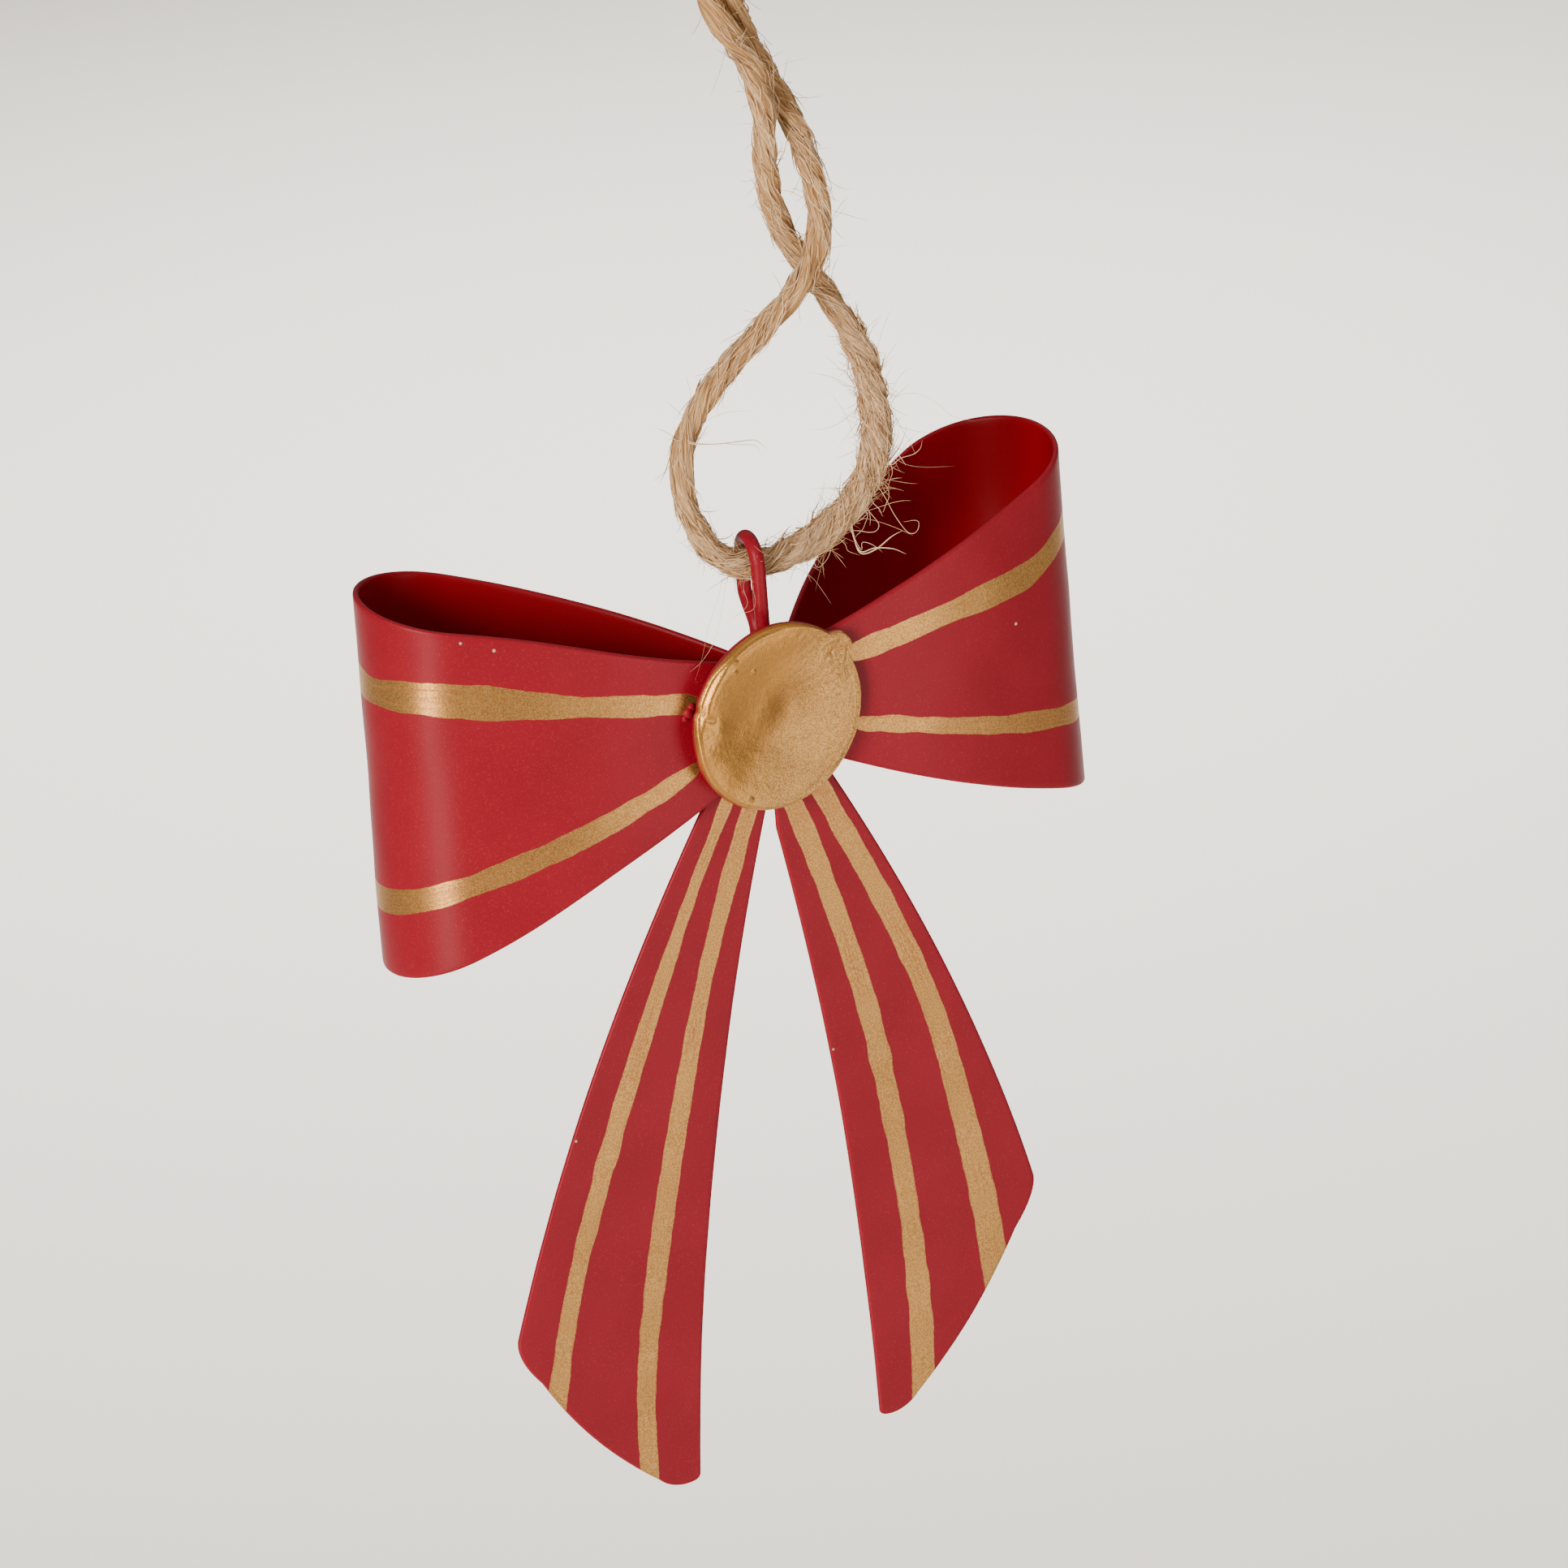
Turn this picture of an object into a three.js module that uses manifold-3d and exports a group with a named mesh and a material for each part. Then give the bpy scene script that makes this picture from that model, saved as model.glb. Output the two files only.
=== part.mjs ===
// A small bow of painted sheet metal that hangs from a loop of natural twine.
// Millimetres, +Z up, the bow's face towards -Y. The origin is where the twine loop is hung up,
// just under the knot. The wire eye hangs a little to the left of the line below it.
import * as THREE from "three";
import { mergeVertices } from "three/addons/utils/BufferGeometryUtils.js";
import Module from "manifold-3d";

// Sheet metal and the gap between pieces that are joined behind the disc
const SHEET = 0.5;
const JOINT_GAP = 0.3;

// Loops: two leaves that meet flat behind the disc and run round a bend at their outer end
const LOOP_TAB = 1.4;
const LOOP_REACH = 30.5;
const LOOP_BEND_RADIUS = 7.15;
const LOOP_FLARE = 29.5;
const LOOP_ROOT_RISE = 5.1;
const LOOP_ROOT_DROP = 4.5;
const LOOP_END_RISE = 13.7;
const LOOP_END_DROP = 18.9;
const LOOP_TOP_FULLNESS = 0.045;
const LOOP_BOTTOM_FULLNESS = 0.085;
const LOOP_FOLD = 0.9;
const LEAF_STEPS = 16;
const BEND_STEPS = 22;
const FOLD_STEPS = 6;
const LEFT_LOOP_SWEEP = 26;
const RIGHT_LOOP_SWEEP = 14.5;
const LEFT_LOOP_RAISE = 1.7;
const RIGHT_LOOP_RAISE = 2.0;

// Tails: one blank with a slanted end, cut twice and turned outward
const TAIL_START = 2.0;
const TAIL_LENGTH = 69.3;
const TAIL_CORNER_DROP = 54.4;
const TAIL_ROOT_OUTER = 2.7;
const TAIL_ROOT_INNER = 1.8;
const TAIL_CORNER_OUT = 20.8;
const TAIL_TIP_OUT = 2.0;
const TAIL_TIP_WIDTH = 3.2;
const TAIL_OUTER_BOW = 2.1;
const TAIL_INNER_BOW = 2.0;
const TAIL_SLANT_BOW = 0.8;
const TAIL_CORNER_ROUND = 3.6;
const TAIL_TIP_ROUND = 1.2;
const TAIL_KICK = 1.0;
const TAIL_STEPS = 12;
const TAIL_CENTRE = -0.5;
const LEFT_TAIL_TURN = 9.3;
const RIGHT_TAIL_TURN = 2.8;

// Centre disc: a thin dish with a rolled rim and one pinched ear
const DISC_RADIUS = 8;
const DISC_SHEET = 0.5;
const DISC_CROWN = 0.75;
const DISC_CROWN_RADIUS = 6.5;
const DISC_LIP = 0.2;
const DISC_HOLLOW_RADIUS = 5.3;
const DISC_HOLLOW_EDGE = 0.6;
const DISC_FLOOR_RADIUS = 2.2;
const DISC_FLOOR_RISE = 0.3;
const DISC_X = -1.0;
const DISC_Z = 0.4;
const EAR_ANGLE = 37;
const EAR_REACH = 0.8;
const EAR_SPREAD = 6;
const EAR_ROOT_RADIUS = 5.5;
const DISC_SIDES = 72;

// Twine, and the wire eye that it runs through
const TWINE = 2.0;
const WIRE = 1.2;
const EYE_TOP = 14.5;
const EYE_WAIST = 9.6;
const EYE_NECK = 6.6;
const EYE_FOOT = 1.2;
const EYE_TURN = 12;
const EYE_FRONT = 2.2;
const WIRE_SIDES = 12;
const TWINE_SIDES = 8;

// Knot at the top of the twine
const KNOT_RADIUS = 3.1;
const KNOT_HEIGHT = 6.2;
const KNOT_SIDES = 20;
// the barrel's radius and height at its rings, as shares of the whole
const KNOT_RINGS = [
  [0.8, 0],
  [0.97, 0.2],
  [1, 0.45],
  [0.88, 0.75],
  [0.5, 1],
];
const LOOSE_END = 7.5;
const LOOSE_END_LEAN = 14;

// How far the bow hangs below the origin, and how far it is to one side of it
const HANG_DROP = 62;
const HANG_ASIDE = -1.2;

// What follows from the sizes above
const DEGREE = Math.PI / 180;
const LEAF_OFFSET = SHEET + JOINT_GAP;
const EYE_SPAN = TWINE + 2 * JOINT_GAP + WIRE;
const EYE_MIDDLE_Y = EYE_FRONT + (EYE_SPAN / 2) * Math.cos(EYE_TURN * DEGREE);
const LOOP_TAB_START = (EYE_SPAN / 2) * Math.sin(EYE_TURN * DEGREE) + WIRE / 2 + JOINT_GAP;
const LOOP_TAB_END = LOOP_TAB_START + LOOP_TAB;
const DISH_FLOOR = DISC_SHEET + JOINT_GAP;
const LEAF_PLANE = DISH_FLOOR + DISC_SHEET + JOINT_GAP + SHEET / 2 + LEAF_OFFSET;

// The twine's middle line, from the knot down the first strand, through the eye and up again
const TWINE_ROUTE = [
  [1.2, 0, 0],
  [1.2, 0, -1.8],
  [2, 0.8, -4.7],
  [3.5, 1.3, -7.9],
  [5.3, 1.3, -11.5],
  [6.8, 0.7, -15.5],
  [7.4, -0.3, -19.8],
  [7, -1.1, -23.3],
  [5.2, -1.3, -26.6],
  [1.3, -0.7, -30.1],
  [-2.9, -0.1, -33.5],
  [-5.9, 0, -37],
  [-6.9, 0, -41.1],
  [-6.1, 0, -44.9],
  [-4.1, 0, -48.2],
  [-1.2, 0, -49.7],
  [2.8, 0, -49.8],
  [6.5, 0, -48.8],
  [9.6, 0, -46.7],
  [11.5, 0, -43.4],
  [11.8, 0, -39.4],
  [10.8, 0.1, -34.6],
  [8.9, 0.8, -30.1],
  [6.5, 1.3, -26],
  [4.4, 1.1, -21.6],
  [3.3, 0.2, -16.9],
  [2.9, -0.7, -12.4],
  [1.7, -1.2, -8.2],
  [-0.5, -0.9, -4.5],
  [-1.2, 0, -1.8],
  [-1.2, 0, 0],
];

const wasm = await Module();
wasm.setup();

// A closed geometry as a solid, and a solid as a geometry
function solidOf(geometry) {
  const bare = new THREE.BufferGeometry();
  bare.setAttribute("position", geometry.getAttribute("position"));
  if (geometry.index) bare.setIndex(geometry.index);
  const merged = mergeVertices(bare, 1e-4);
  return new wasm.Manifold(
    new wasm.Mesh({
      numProp: 3,
      vertProperties: new Float32Array(merged.attributes.position.array),
      triVerts: new Uint32Array(merged.index.array),
    }),
  );
}

function geometryOf(solid) {
  const mesh = solid.getMesh();
  const geometry = new THREE.BufferGeometry();
  geometry.setAttribute("position", new THREE.BufferAttribute(mesh.vertProperties, 3));
  geometry.setIndex(new THREE.BufferAttribute(mesh.triVerts, 1));
  const flat = geometry.toNonIndexed();
  flat.computeVertexNormals();
  return flat;
}

function crossing(...geometries) {
  const solids = geometries.map(solidOf);
  return geometryOf(solids.reduce((kept, next) => kept.intersect(next)));
}

// A flat outline of the sheet's thickness round a middle line
function stripAlong(points, thickness) {
  const left = [];
  const right = [];
  points.forEach((point, i) => {
    const before = points[Math.max(i - 1, 0)];
    const after = points[Math.min(i + 1, points.length - 1)];
    const along = after.clone().sub(before).normalize();
    const across = new THREE.Vector2(-along.y, along.x).multiplyScalar(thickness / 2);
    left.push(point.clone().add(across));
    right.push(point.clone().sub(across));
  });
  return new THREE.Shape([...left, ...right.reverse()]);
}

// A shape drawn in X and Z, pushed through the part from front to back
function frontPrism(shape, depth) {
  const prism = new THREE.ExtrudeGeometry(shape, { depth, bevelEnabled: false, curveSegments: 10 });
  prism.translate(0, 0, -depth / 2);
  prism.rotateX(Math.PI / 2);
  return prism;
}

// The loop's middle line seen from above, with its root at the origin.
// Each leaf is an arc that leaves the root at the flare angle and meets the bend smoothly.
function loopPlan(side, sweep) {
  const flare = LOOP_FLARE * DEGREE;
  const bendCentre = LOOP_REACH - LOOP_BEND_RADIUS;
  const leafRadius =
    (bendCentre ** 2 + LEAF_OFFSET ** 2 - LOOP_BEND_RADIUS ** 2) /
    (2 * (bendCentre * Math.sin(flare) + LEAF_OFFSET * Math.cos(flare) - LOOP_BEND_RADIUS));
  const leafX = leafRadius * Math.sin(flare);
  const leafY = leafRadius * Math.cos(flare) - LEAF_OFFSET;
  const turned = (x, y) => new THREE.Vector2(x, y).rotateAround(new THREE.Vector2(), sweep);
  const meet = Math.atan2(-leafY, bendCentre - leafX);
  const leafStart = Math.atan2(-LEAF_OFFSET - leafY, -leafX);
  const tab = -LOOP_TAB;

  // front tab, fold, front leaf, bend, back leaf, fold, back tab
  const arc = (x, y, radius, from, to) => new THREE.EllipseCurve(x, y, radius, radius, from, to);
  const leaf = arc(leafX, leafY, leafRadius, leafStart, meet).getPoints(LEAF_STEPS).slice(1);
  const front = leaf.map((p) => turned(p.x, p.y));
  const back = leaf.map((p) => turned(p.x, -p.y)).reverse();
  const bend = arc(bendCentre, 0, LOOP_BEND_RADIUS, meet, -meet).getPoints(BEND_STEPS);
  const round = bend.slice(1, -1).map((p) => turned(p.x, p.y));
  const fold = (leafPoint, y) =>
    new THREE.QuadraticBezierCurve(
      new THREE.Vector2(-LOOP_FOLD, y),
      turned(0, y),
      leafPoint,
    ).getPoints(FOLD_STEPS);
  const line = [
    new THREE.Vector2(tab, -LEAF_OFFSET),
    ...fold(front[0], -LEAF_OFFSET),
    ...front.slice(1),
    ...round,
    ...back.slice(0, -1),
    ...fold(back.at(-1), LEAF_OFFSET).reverse(),
    new THREE.Vector2(tab, LEAF_OFFSET),
  ];
  return line.map((p) => new THREE.Vector2(side * p.x, p.y));
}

// The strip's width seen from the front: it flares from the root to the bend
function loopElevation(side) {
  const edge = (root, end, fullness) => {
    const middle = root + (end - root) * (0.5 + 2 * fullness);
    return [
      [0, root],
      [LOOP_REACH / 2, middle],
      [LOOP_REACH, end],
    ].map(([x, z]) => new THREE.Vector2(side * x, z));
  };
  const inner = side * -2 * LOOP_TAB_END;
  const outer = side * (LOOP_REACH + SHEET);
  const top = edge(LOOP_ROOT_RISE, LOOP_END_RISE, LOOP_TOP_FULLNESS);
  const bottom = edge(-LOOP_ROOT_DROP, -LOOP_END_DROP, LOOP_BOTTOM_FULLNESS);
  const shape = new THREE.Shape();
  shape.moveTo(inner, LOOP_ROOT_RISE);
  shape.lineTo(top[0].x, top[0].y);
  shape.quadraticCurveTo(top[1].x, top[1].y, top[2].x, top[2].y);
  shape.lineTo(outer, LOOP_END_RISE);
  shape.lineTo(outer, -LOOP_END_DROP);
  shape.lineTo(bottom[2].x, bottom[2].y);
  shape.quadraticCurveTo(bottom[1].x, bottom[1].y, bottom[0].x, bottom[0].y);
  shape.lineTo(inner, -LOOP_ROOT_DROP);
  return shape;
}

function loopGeometry(side, sweepDegrees) {
  const sweep = sweepDegrees * DEGREE;
  const tall = LOOP_END_RISE + LOOP_END_DROP + SHEET;
  const plan = stripAlong(loopPlan(side, sweep), SHEET);
  const wall = new THREE.ExtrudeGeometry(plan, { depth: tall, bevelEnabled: false });
  wall.translate(0, 0, -LOOP_END_DROP - SHEET / 2);
  const width = frontPrism(loopElevation(side), 4 * LOOP_REACH);
  width.rotateZ(side * sweep);
  return crossing(wall, width);
}

// A tail's outline, X outward and Z down from the middle of the knot
function tailOutline(side) {
  const point = (x, down) => new THREE.Vector2(side * x, -down);
  const bowed = (from, to, bow) => [(from[0] + to[0]) / 2 + 2 * bow, (from[1] + to[1]) / 2];
  const outerRoot = [TAIL_ROOT_OUTER, TAIL_START];
  const innerRoot = [-TAIL_ROOT_INNER, TAIL_START];
  const corner = [TAIL_CORNER_OUT, TAIL_CORNER_DROP];
  const tipOut = [TAIL_TIP_OUT + TAIL_TIP_WIDTH, TAIL_LENGTH];
  const tipIn = [TAIL_TIP_OUT, TAIL_LENGTH - TAIL_TIP_ROUND / 2];
  const slant = point(...tipOut).sub(point(...corner)).normalize();
  const afterCorner = point(...corner).addScaledVector(slant, TAIL_CORNER_ROUND);
  const beforeTip = point(...tipOut).addScaledVector(slant, -TAIL_TIP_ROUND);
  const slantOut = new THREE.Vector2(-slant.y, slant.x).multiplyScalar(side * 2 * TAIL_SLANT_BOW);
  const slantMiddle = afterCorner.clone().lerp(beforeTip, 0.5).add(slantOut);
  const shape = new THREE.Shape();
  const curveTo = (c, p) => shape.quadraticCurveTo(c.x, c.y, p.x, p.y);
  const start = point(...outerRoot);
  const cornerStart = point(TAIL_CORNER_OUT - 0.1, TAIL_CORNER_DROP - TAIL_CORNER_ROUND / 2);
  shape.moveTo(start.x, start.y);
  curveTo(point(...bowed(outerRoot, corner, TAIL_OUTER_BOW)), cornerStart);
  curveTo(point(...corner), afterCorner);
  curveTo(slantMiddle, beforeTip);
  curveTo(point(...tipOut), point((tipOut[0] + tipIn[0]) / 2, TAIL_LENGTH));
  curveTo(point(tipIn[0], TAIL_LENGTH), point(...tipIn));
  curveTo(point(...bowed(innerRoot, tipIn, TAIL_INNER_BOW)), point(...innerRoot));
  return shape;
}

// A tail is flat behind the disc and kicks a little forward towards its end
function tailGeometry(side, turnDegrees) {
  const flatTo = LOOP_ROOT_DROP + TAIL_START;
  const far = TAIL_LENGTH + SHEET;
  const profile = [new THREE.Vector2(0, -TAIL_START / 2)];
  for (let i = 0; i <= TAIL_STEPS; i += 1) {
    const share = i / TAIL_STEPS;
    profile.push(new THREE.Vector2(-TAIL_KICK * share ** 2, -flatTo - (far - flatTo) * share));
  }
  const sheet = new THREE.ExtrudeGeometry(stripAlong(profile, SHEET), {
    depth: 4 * TAIL_CORNER_OUT,
    bevelEnabled: false,
  });
  // the profile is drawn in Y and Z and pushed along X
  sheet.translate(0, 0, -2 * TAIL_CORNER_OUT);
  sheet.applyMatrix4(new THREE.Matrix4().set(0, 0, 1, 0, 1, 0, 0, 0, 0, 1, 0, 0, 0, 0, 0, 1));
  const outline = frontPrism(tailOutline(side), 8 * LEAF_PLANE + 4 * TAIL_KICK);
  outline.rotateY(-side * turnDegrees * DEGREE);
  // where the two tails would cross behind the disc, each stops at a seam between them
  const ownSide = new THREE.BoxGeometry(4 * TAIL_LENGTH, 4 * TAIL_LENGTH, 4 * TAIL_LENGTH);
  ownSide.translate(side * (2 * TAIL_LENGTH + JOINT_GAP / 2), 0, 0);
  return crossing(sheet, outline, ownSide);
}

// The disc's section from the middle of its back, round the rim, to the middle of its face
function discGeometry() {
  const wall = DISC_SHEET;
  const slope = (DISC_HOLLOW_RADIUS + DISC_FLOOR_RADIUS) / 2;
  const back = [
    [0, DISH_FLOOR + wall],
    [DISC_FLOOR_RADIUS + 0.4 * wall, DISH_FLOOR + 0.9 * wall - DISC_FLOOR_RISE / 2],
    [DISC_HOLLOW_RADIUS - DISC_HOLLOW_EDGE, 0.9 * wall],
    [DISC_CROWN_RADIUS, wall - DISC_CROWN],
    [DISC_RADIUS - 2 * wall, 1.1 * wall - DISC_CROWN],
    [DISC_RADIUS - wall, DISC_LIP],
  ];
  const face = [
    [DISC_RADIUS - 0.16 * wall, DISC_LIP],
    [DISC_RADIUS, 0],
    [DISC_RADIUS - 0.32 * wall, -0.36 * DISC_CROWN],
    [DISC_RADIUS - 1.2 * wall, -0.8 * DISC_CROWN],
    [DISC_CROWN_RADIUS, -DISC_CROWN],
    [DISC_HOLLOW_RADIUS, -0.8 * DISC_CROWN],
    [slope, -0.2 * wall],
    [DISC_FLOOR_RADIUS, DISH_FLOOR - DISC_FLOOR_RISE],
    [0, DISH_FLOOR],
  ];
  const section = [...back, ...face].map(([r, y]) => new THREE.Vector2(r, y));
  const disc = new THREE.LatheGeometry(section.reverse(), DISC_SIDES);
  const place = disc.getAttribute("position");
  for (let i = 0; i < place.count; i += 1) {
    const x = place.getX(i);
    const z = place.getZ(i);
    const radius = Math.hypot(x, z);
    const off = Math.atan2(z, x) / DEGREE - EAR_ANGLE;
    const outward = THREE.MathUtils.smoothstep(radius, EAR_ROOT_RADIUS, DISC_RADIUS);
    const share = Math.exp(-((off / EAR_SPREAD) ** 2)) * outward;
    const stretch = radius > 0 ? 1 + (EAR_REACH * share) / radius : 1;
    place.setXYZ(i, x * stretch, place.getY(i), z * stretch);
  }
  return geometryOf(solidOf(disc));
}

// A round bar of even thickness along a curve
function roundBar(curve, diameter, sides, steps) {
  const rim = [];
  for (let i = 0; i < sides; i += 1) {
    const turn = (2 * Math.PI * i) / sides;
    rim.push(new THREE.Vector2(Math.cos(turn), Math.sin(turn)).multiplyScalar(diameter / 2));
  }
  const section = new THREE.Shape(rim);
  return new THREE.ExtrudeGeometry(section, { steps, extrudePath: curve, bevelEnabled: false });
}

// The eye's wire runs up in front, over the top, down behind, and forward again to its other foot
function eyeGeometry() {
  const half = EYE_SPAN / 2;
  const shoulder = EYE_TOP - half;
  const closed = -half + WIRE + JOINT_GAP;
  const line = new THREE.CurvePath();
  const at = (y, z) => new THREE.Vector3(0, y, z);
  line.add(new THREE.LineCurve3(at(-half, EYE_FOOT), at(-half, shoulder)));
  const arch = [];
  for (let i = 0; i <= 8; i += 1) {
    const turn = (Math.PI * i) / 8;
    arch.push(at(-half * Math.cos(turn), shoulder + half * Math.sin(turn)));
  }
  line.add(new THREE.CatmullRomCurve3(arch));
  line.add(new THREE.LineCurve3(at(half, shoulder), at(half, EYE_WAIST)));
  line.add(
    new THREE.CubicBezierCurve3(
      at(half, EYE_WAIST),
      at(half, EYE_WAIST - 1.2),
      at(closed, EYE_NECK + 1.2),
      at(closed, EYE_NECK),
    ),
  );
  line.add(new THREE.LineCurve3(at(closed, EYE_NECK), at(closed, EYE_FOOT)));
  return roundBar(line, WIRE, WIRE_SIDES, 44);
}

function twineGeometry() {
  const points = TWINE_ROUTE.map((p) => new THREE.Vector3(...p));
  const line = new THREE.CatmullRomCurve3(points, false, "centripetal");
  return roundBar(line, TWINE, TWINE_SIDES, 44);
}

// The knot is a rounded barrel, and the twine's two loose ends stand up out of it
function knotGeometry() {
  const rings = [[0, 0], ...KNOT_RINGS, [0, 1]];
  const section = rings.map(([r, z]) => new THREE.Vector2(r * KNOT_RADIUS, z * KNOT_HEIGHT));
  const barrel = new THREE.LatheGeometry(section, KNOT_SIDES).rotateX(Math.PI / 2);
  let knot = solidOf(barrel);
  for (const side of [-1, 1]) {
    const end = new THREE.CylinderGeometry(0.35 * TWINE, 0.5 * TWINE, LOOSE_END, 10);
    end.rotateX(Math.PI / 2);
    end.translate(0, 0, LOOSE_END / 2);
    end.rotateY(side * LOOSE_END_LEAN * DEGREE);
    end.translate(side * 0.55 * TWINE, 0, 0.75 * KNOT_HEIGHT);
    knot = knot.add(solidOf(end));
  }
  return geometryOf(knot);
}

// Finishes
const redPaint = new THREE.MeshStandardMaterial({ color: 0xa51c22, roughness: 0.45, metalness: 0.0 });
const goldPaint = new THREE.MeshStandardMaterial({ color: 0xb48a52, roughness: 0.4, metalness: 0.7 });
const jute = new THREE.MeshStandardMaterial({ color: 0xc29a6e, roughness: 0.95, metalness: 0.0 });

function piece(name, geometry, material) {
  const mesh = new THREE.Mesh(geometry, material);
  mesh.name = name;
  return mesh;
}

function loop(name, side, sweep, raise) {
  const mesh = piece(name, loopGeometry(side, sweep), redPaint);
  mesh.position.set(side * LOOP_TAB_END, LEAF_PLANE, 0);
  mesh.rotation.y = -side * raise * DEGREE;
  return mesh;
}

function tail(name, side, turn) {
  const mesh = piece(name, tailGeometry(side, turn), redPaint);
  mesh.position.set(TAIL_CENTRE, LEAF_PLANE, 0);
  return mesh;
}

const bow = new THREE.Group();
bow.add(loop("left_loop", -1, LEFT_LOOP_SWEEP, LEFT_LOOP_RAISE));
bow.add(loop("right_loop", 1, RIGHT_LOOP_SWEEP, RIGHT_LOOP_RAISE));
bow.add(tail("left_tail", -1, LEFT_TAIL_TURN));
bow.add(tail("right_tail", 1, RIGHT_TAIL_TURN));

const disc = piece("centre_disc", discGeometry(), goldPaint);
disc.position.set(DISC_X, 0, DISC_Z);
bow.add(disc);

const eye = piece("hanging_eye", eyeGeometry(), redPaint);
eye.position.set(0, EYE_MIDDLE_Y, 0);
eye.rotation.z = -EYE_TURN * DEGREE;
bow.add(eye);
bow.position.set(HANG_ASIDE, -EYE_MIDDLE_Y, -HANG_DROP);

const twine = piece("twine_cord", twineGeometry(), jute);
const knot = piece("cord_knot", knotGeometry(), jute);
knot.position.set(0, 0, JOINT_GAP);

const ornament = new THREE.Group();
ornament.add(bow, twine, knot);
export default ornament;
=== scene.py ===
"""Finished surfaces of a small hanging bow: painted sheet metal, a gold dished disc, a wire eye
and a loop of jute twine.

Sizes are in millimetres and go into the meshes in metres. The part's frame has its origin where
the twine is hung up, +Z up and the bow's face towards -Y. The bow's own frame has the same
directions, and its origin is in the middle of the disc, BOW_PLACE away.
"""

import bpy
import numpy as np
from mathutils import Matrix, Vector


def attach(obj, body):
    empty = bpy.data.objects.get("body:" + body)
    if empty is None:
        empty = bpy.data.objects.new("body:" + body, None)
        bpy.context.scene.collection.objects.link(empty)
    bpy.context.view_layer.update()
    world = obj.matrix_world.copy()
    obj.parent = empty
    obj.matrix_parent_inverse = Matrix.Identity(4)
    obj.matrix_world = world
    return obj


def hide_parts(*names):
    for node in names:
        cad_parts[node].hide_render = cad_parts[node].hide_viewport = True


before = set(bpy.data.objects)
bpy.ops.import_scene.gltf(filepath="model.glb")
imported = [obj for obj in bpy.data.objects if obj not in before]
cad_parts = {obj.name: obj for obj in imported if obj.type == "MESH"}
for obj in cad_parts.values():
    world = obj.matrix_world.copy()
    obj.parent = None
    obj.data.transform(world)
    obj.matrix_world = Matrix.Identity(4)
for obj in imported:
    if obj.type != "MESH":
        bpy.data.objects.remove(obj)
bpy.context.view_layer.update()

MM = 0.001

# Sheet metal, wire and twine
SHEET = 0.5
JOINT_GAP = 0.3
TWINE = 2.0
WIRE = 1.2

# Loops
LOOP_TAB = 1.4
LOOP_REACH = 30.5
LOOP_BEND_RADIUS = 7.15
LOOP_FLARE = 29.5
LOOP_ROOT = (-4.5, 5.1)
LOOP_END = (-18.9, 13.7)
LOOP_FULLNESS = (0.085, 0.045)
LOOP_FOLD = 0.9
LOOP_SWEEP = {-1: 26.0, 1: 14.5}
LOOP_RAISE = {-1: 1.7, 1: 2.0}
# how far the front leaf's middle stands up, by the hand that bent it
LOOP_LIFT = {-1: 0.65, 1: 0.0}

# Tails
TAIL_START = 2.0
TAIL_LENGTH = 69.3
TAIL_CORNER_DROP = 54.4
TAIL_ROOT_OUTER = 2.7
TAIL_ROOT_INNER = 1.8
TAIL_CORNER_OUT = 20.8
TAIL_TIP_OUT = 2.0
TAIL_TIP_WIDTH = 3.2
TAIL_OUTER_BOW = 2.1
TAIL_INNER_BOW = 2.0
TAIL_SLANT_BOW = 0.8
TAIL_CORNER_ROUND = 3.6
TAIL_TIP_ROUND = 1.2
TAIL_KICK = 1.0
TAIL_CENTRE = -0.5
TAIL_TURN = {-1: 9.3, 1: 2.8}

# Centre disc
DISC_RADIUS = 8.0
DISC_SHEET = 0.5
DISC_CENTRE = (-1.0, 0.4)
DISH_FLOOR = 0.8

# Wire eye
EYE_TOP = 14.5
EYE_WAIST = 9.6
EYE_NECK = 6.6
EYE_FOOT = 1.2
EYE_TURN = 12.0
EYE_FRONT = 2.2

# What follows from them
LEAF_OFFSET = SHEET + JOINT_GAP
EYE_HALF = (TWINE + 2 * JOINT_GAP + WIRE) / 2
EYE_MIDDLE_Y = EYE_FRONT + EYE_HALF * np.cos(np.radians(EYE_TURN))
LOOP_TAB_END = EYE_HALF * np.sin(np.radians(EYE_TURN)) + WIRE / 2 + JOINT_GAP + LOOP_TAB
LEAF_PLANE = DISH_FLOOR + DISC_SHEET + JOINT_GAP + SHEET / 2 + LEAF_OFFSET
BOW_PLACE = np.array([-1.2, -EYE_MIDDLE_Y, -62.0])

# The twine's middle line, from the knot down the first strand, through the eye and up again
TWINE_ROUTE = [
    (1.2, 0, 0), (1.2, 0, -1.8), (2, 0.8, -4.7), (3.5, 1.3, -7.9), (5.3, 1.3, -11.5),
    (6.8, 0.7, -15.5), (7.4, -0.3, -19.8), (7, -1.1, -23.3), (5.2, -1.3, -26.6),
    (1.3, -0.7, -30.1), (-2.9, -0.1, -33.5), (-5.9, 0, -37), (-6.9, 0, -41.1),
    (-6.1, 0, -44.9), (-4.1, 0, -48.2), (-1.2, 0, -49.7), (2.8, 0, -49.8),
    (6.5, 0, -48.8), (9.6, 0, -46.7), (11.5, 0, -43.4), (11.8, 0, -39.4),
    (10.8, 0.1, -34.6), (8.9, 0.8, -30.1), (6.5, 1.3, -26), (4.4, 1.1, -21.6),
    (3.3, 0.2, -16.9), (2.9, -0.7, -12.4), (1.7, -1.2, -8.2), (-0.5, -0.9, -4.5),
    (-1.2, 0, -1.8), (-1.2, 0, 0),
]

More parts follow.
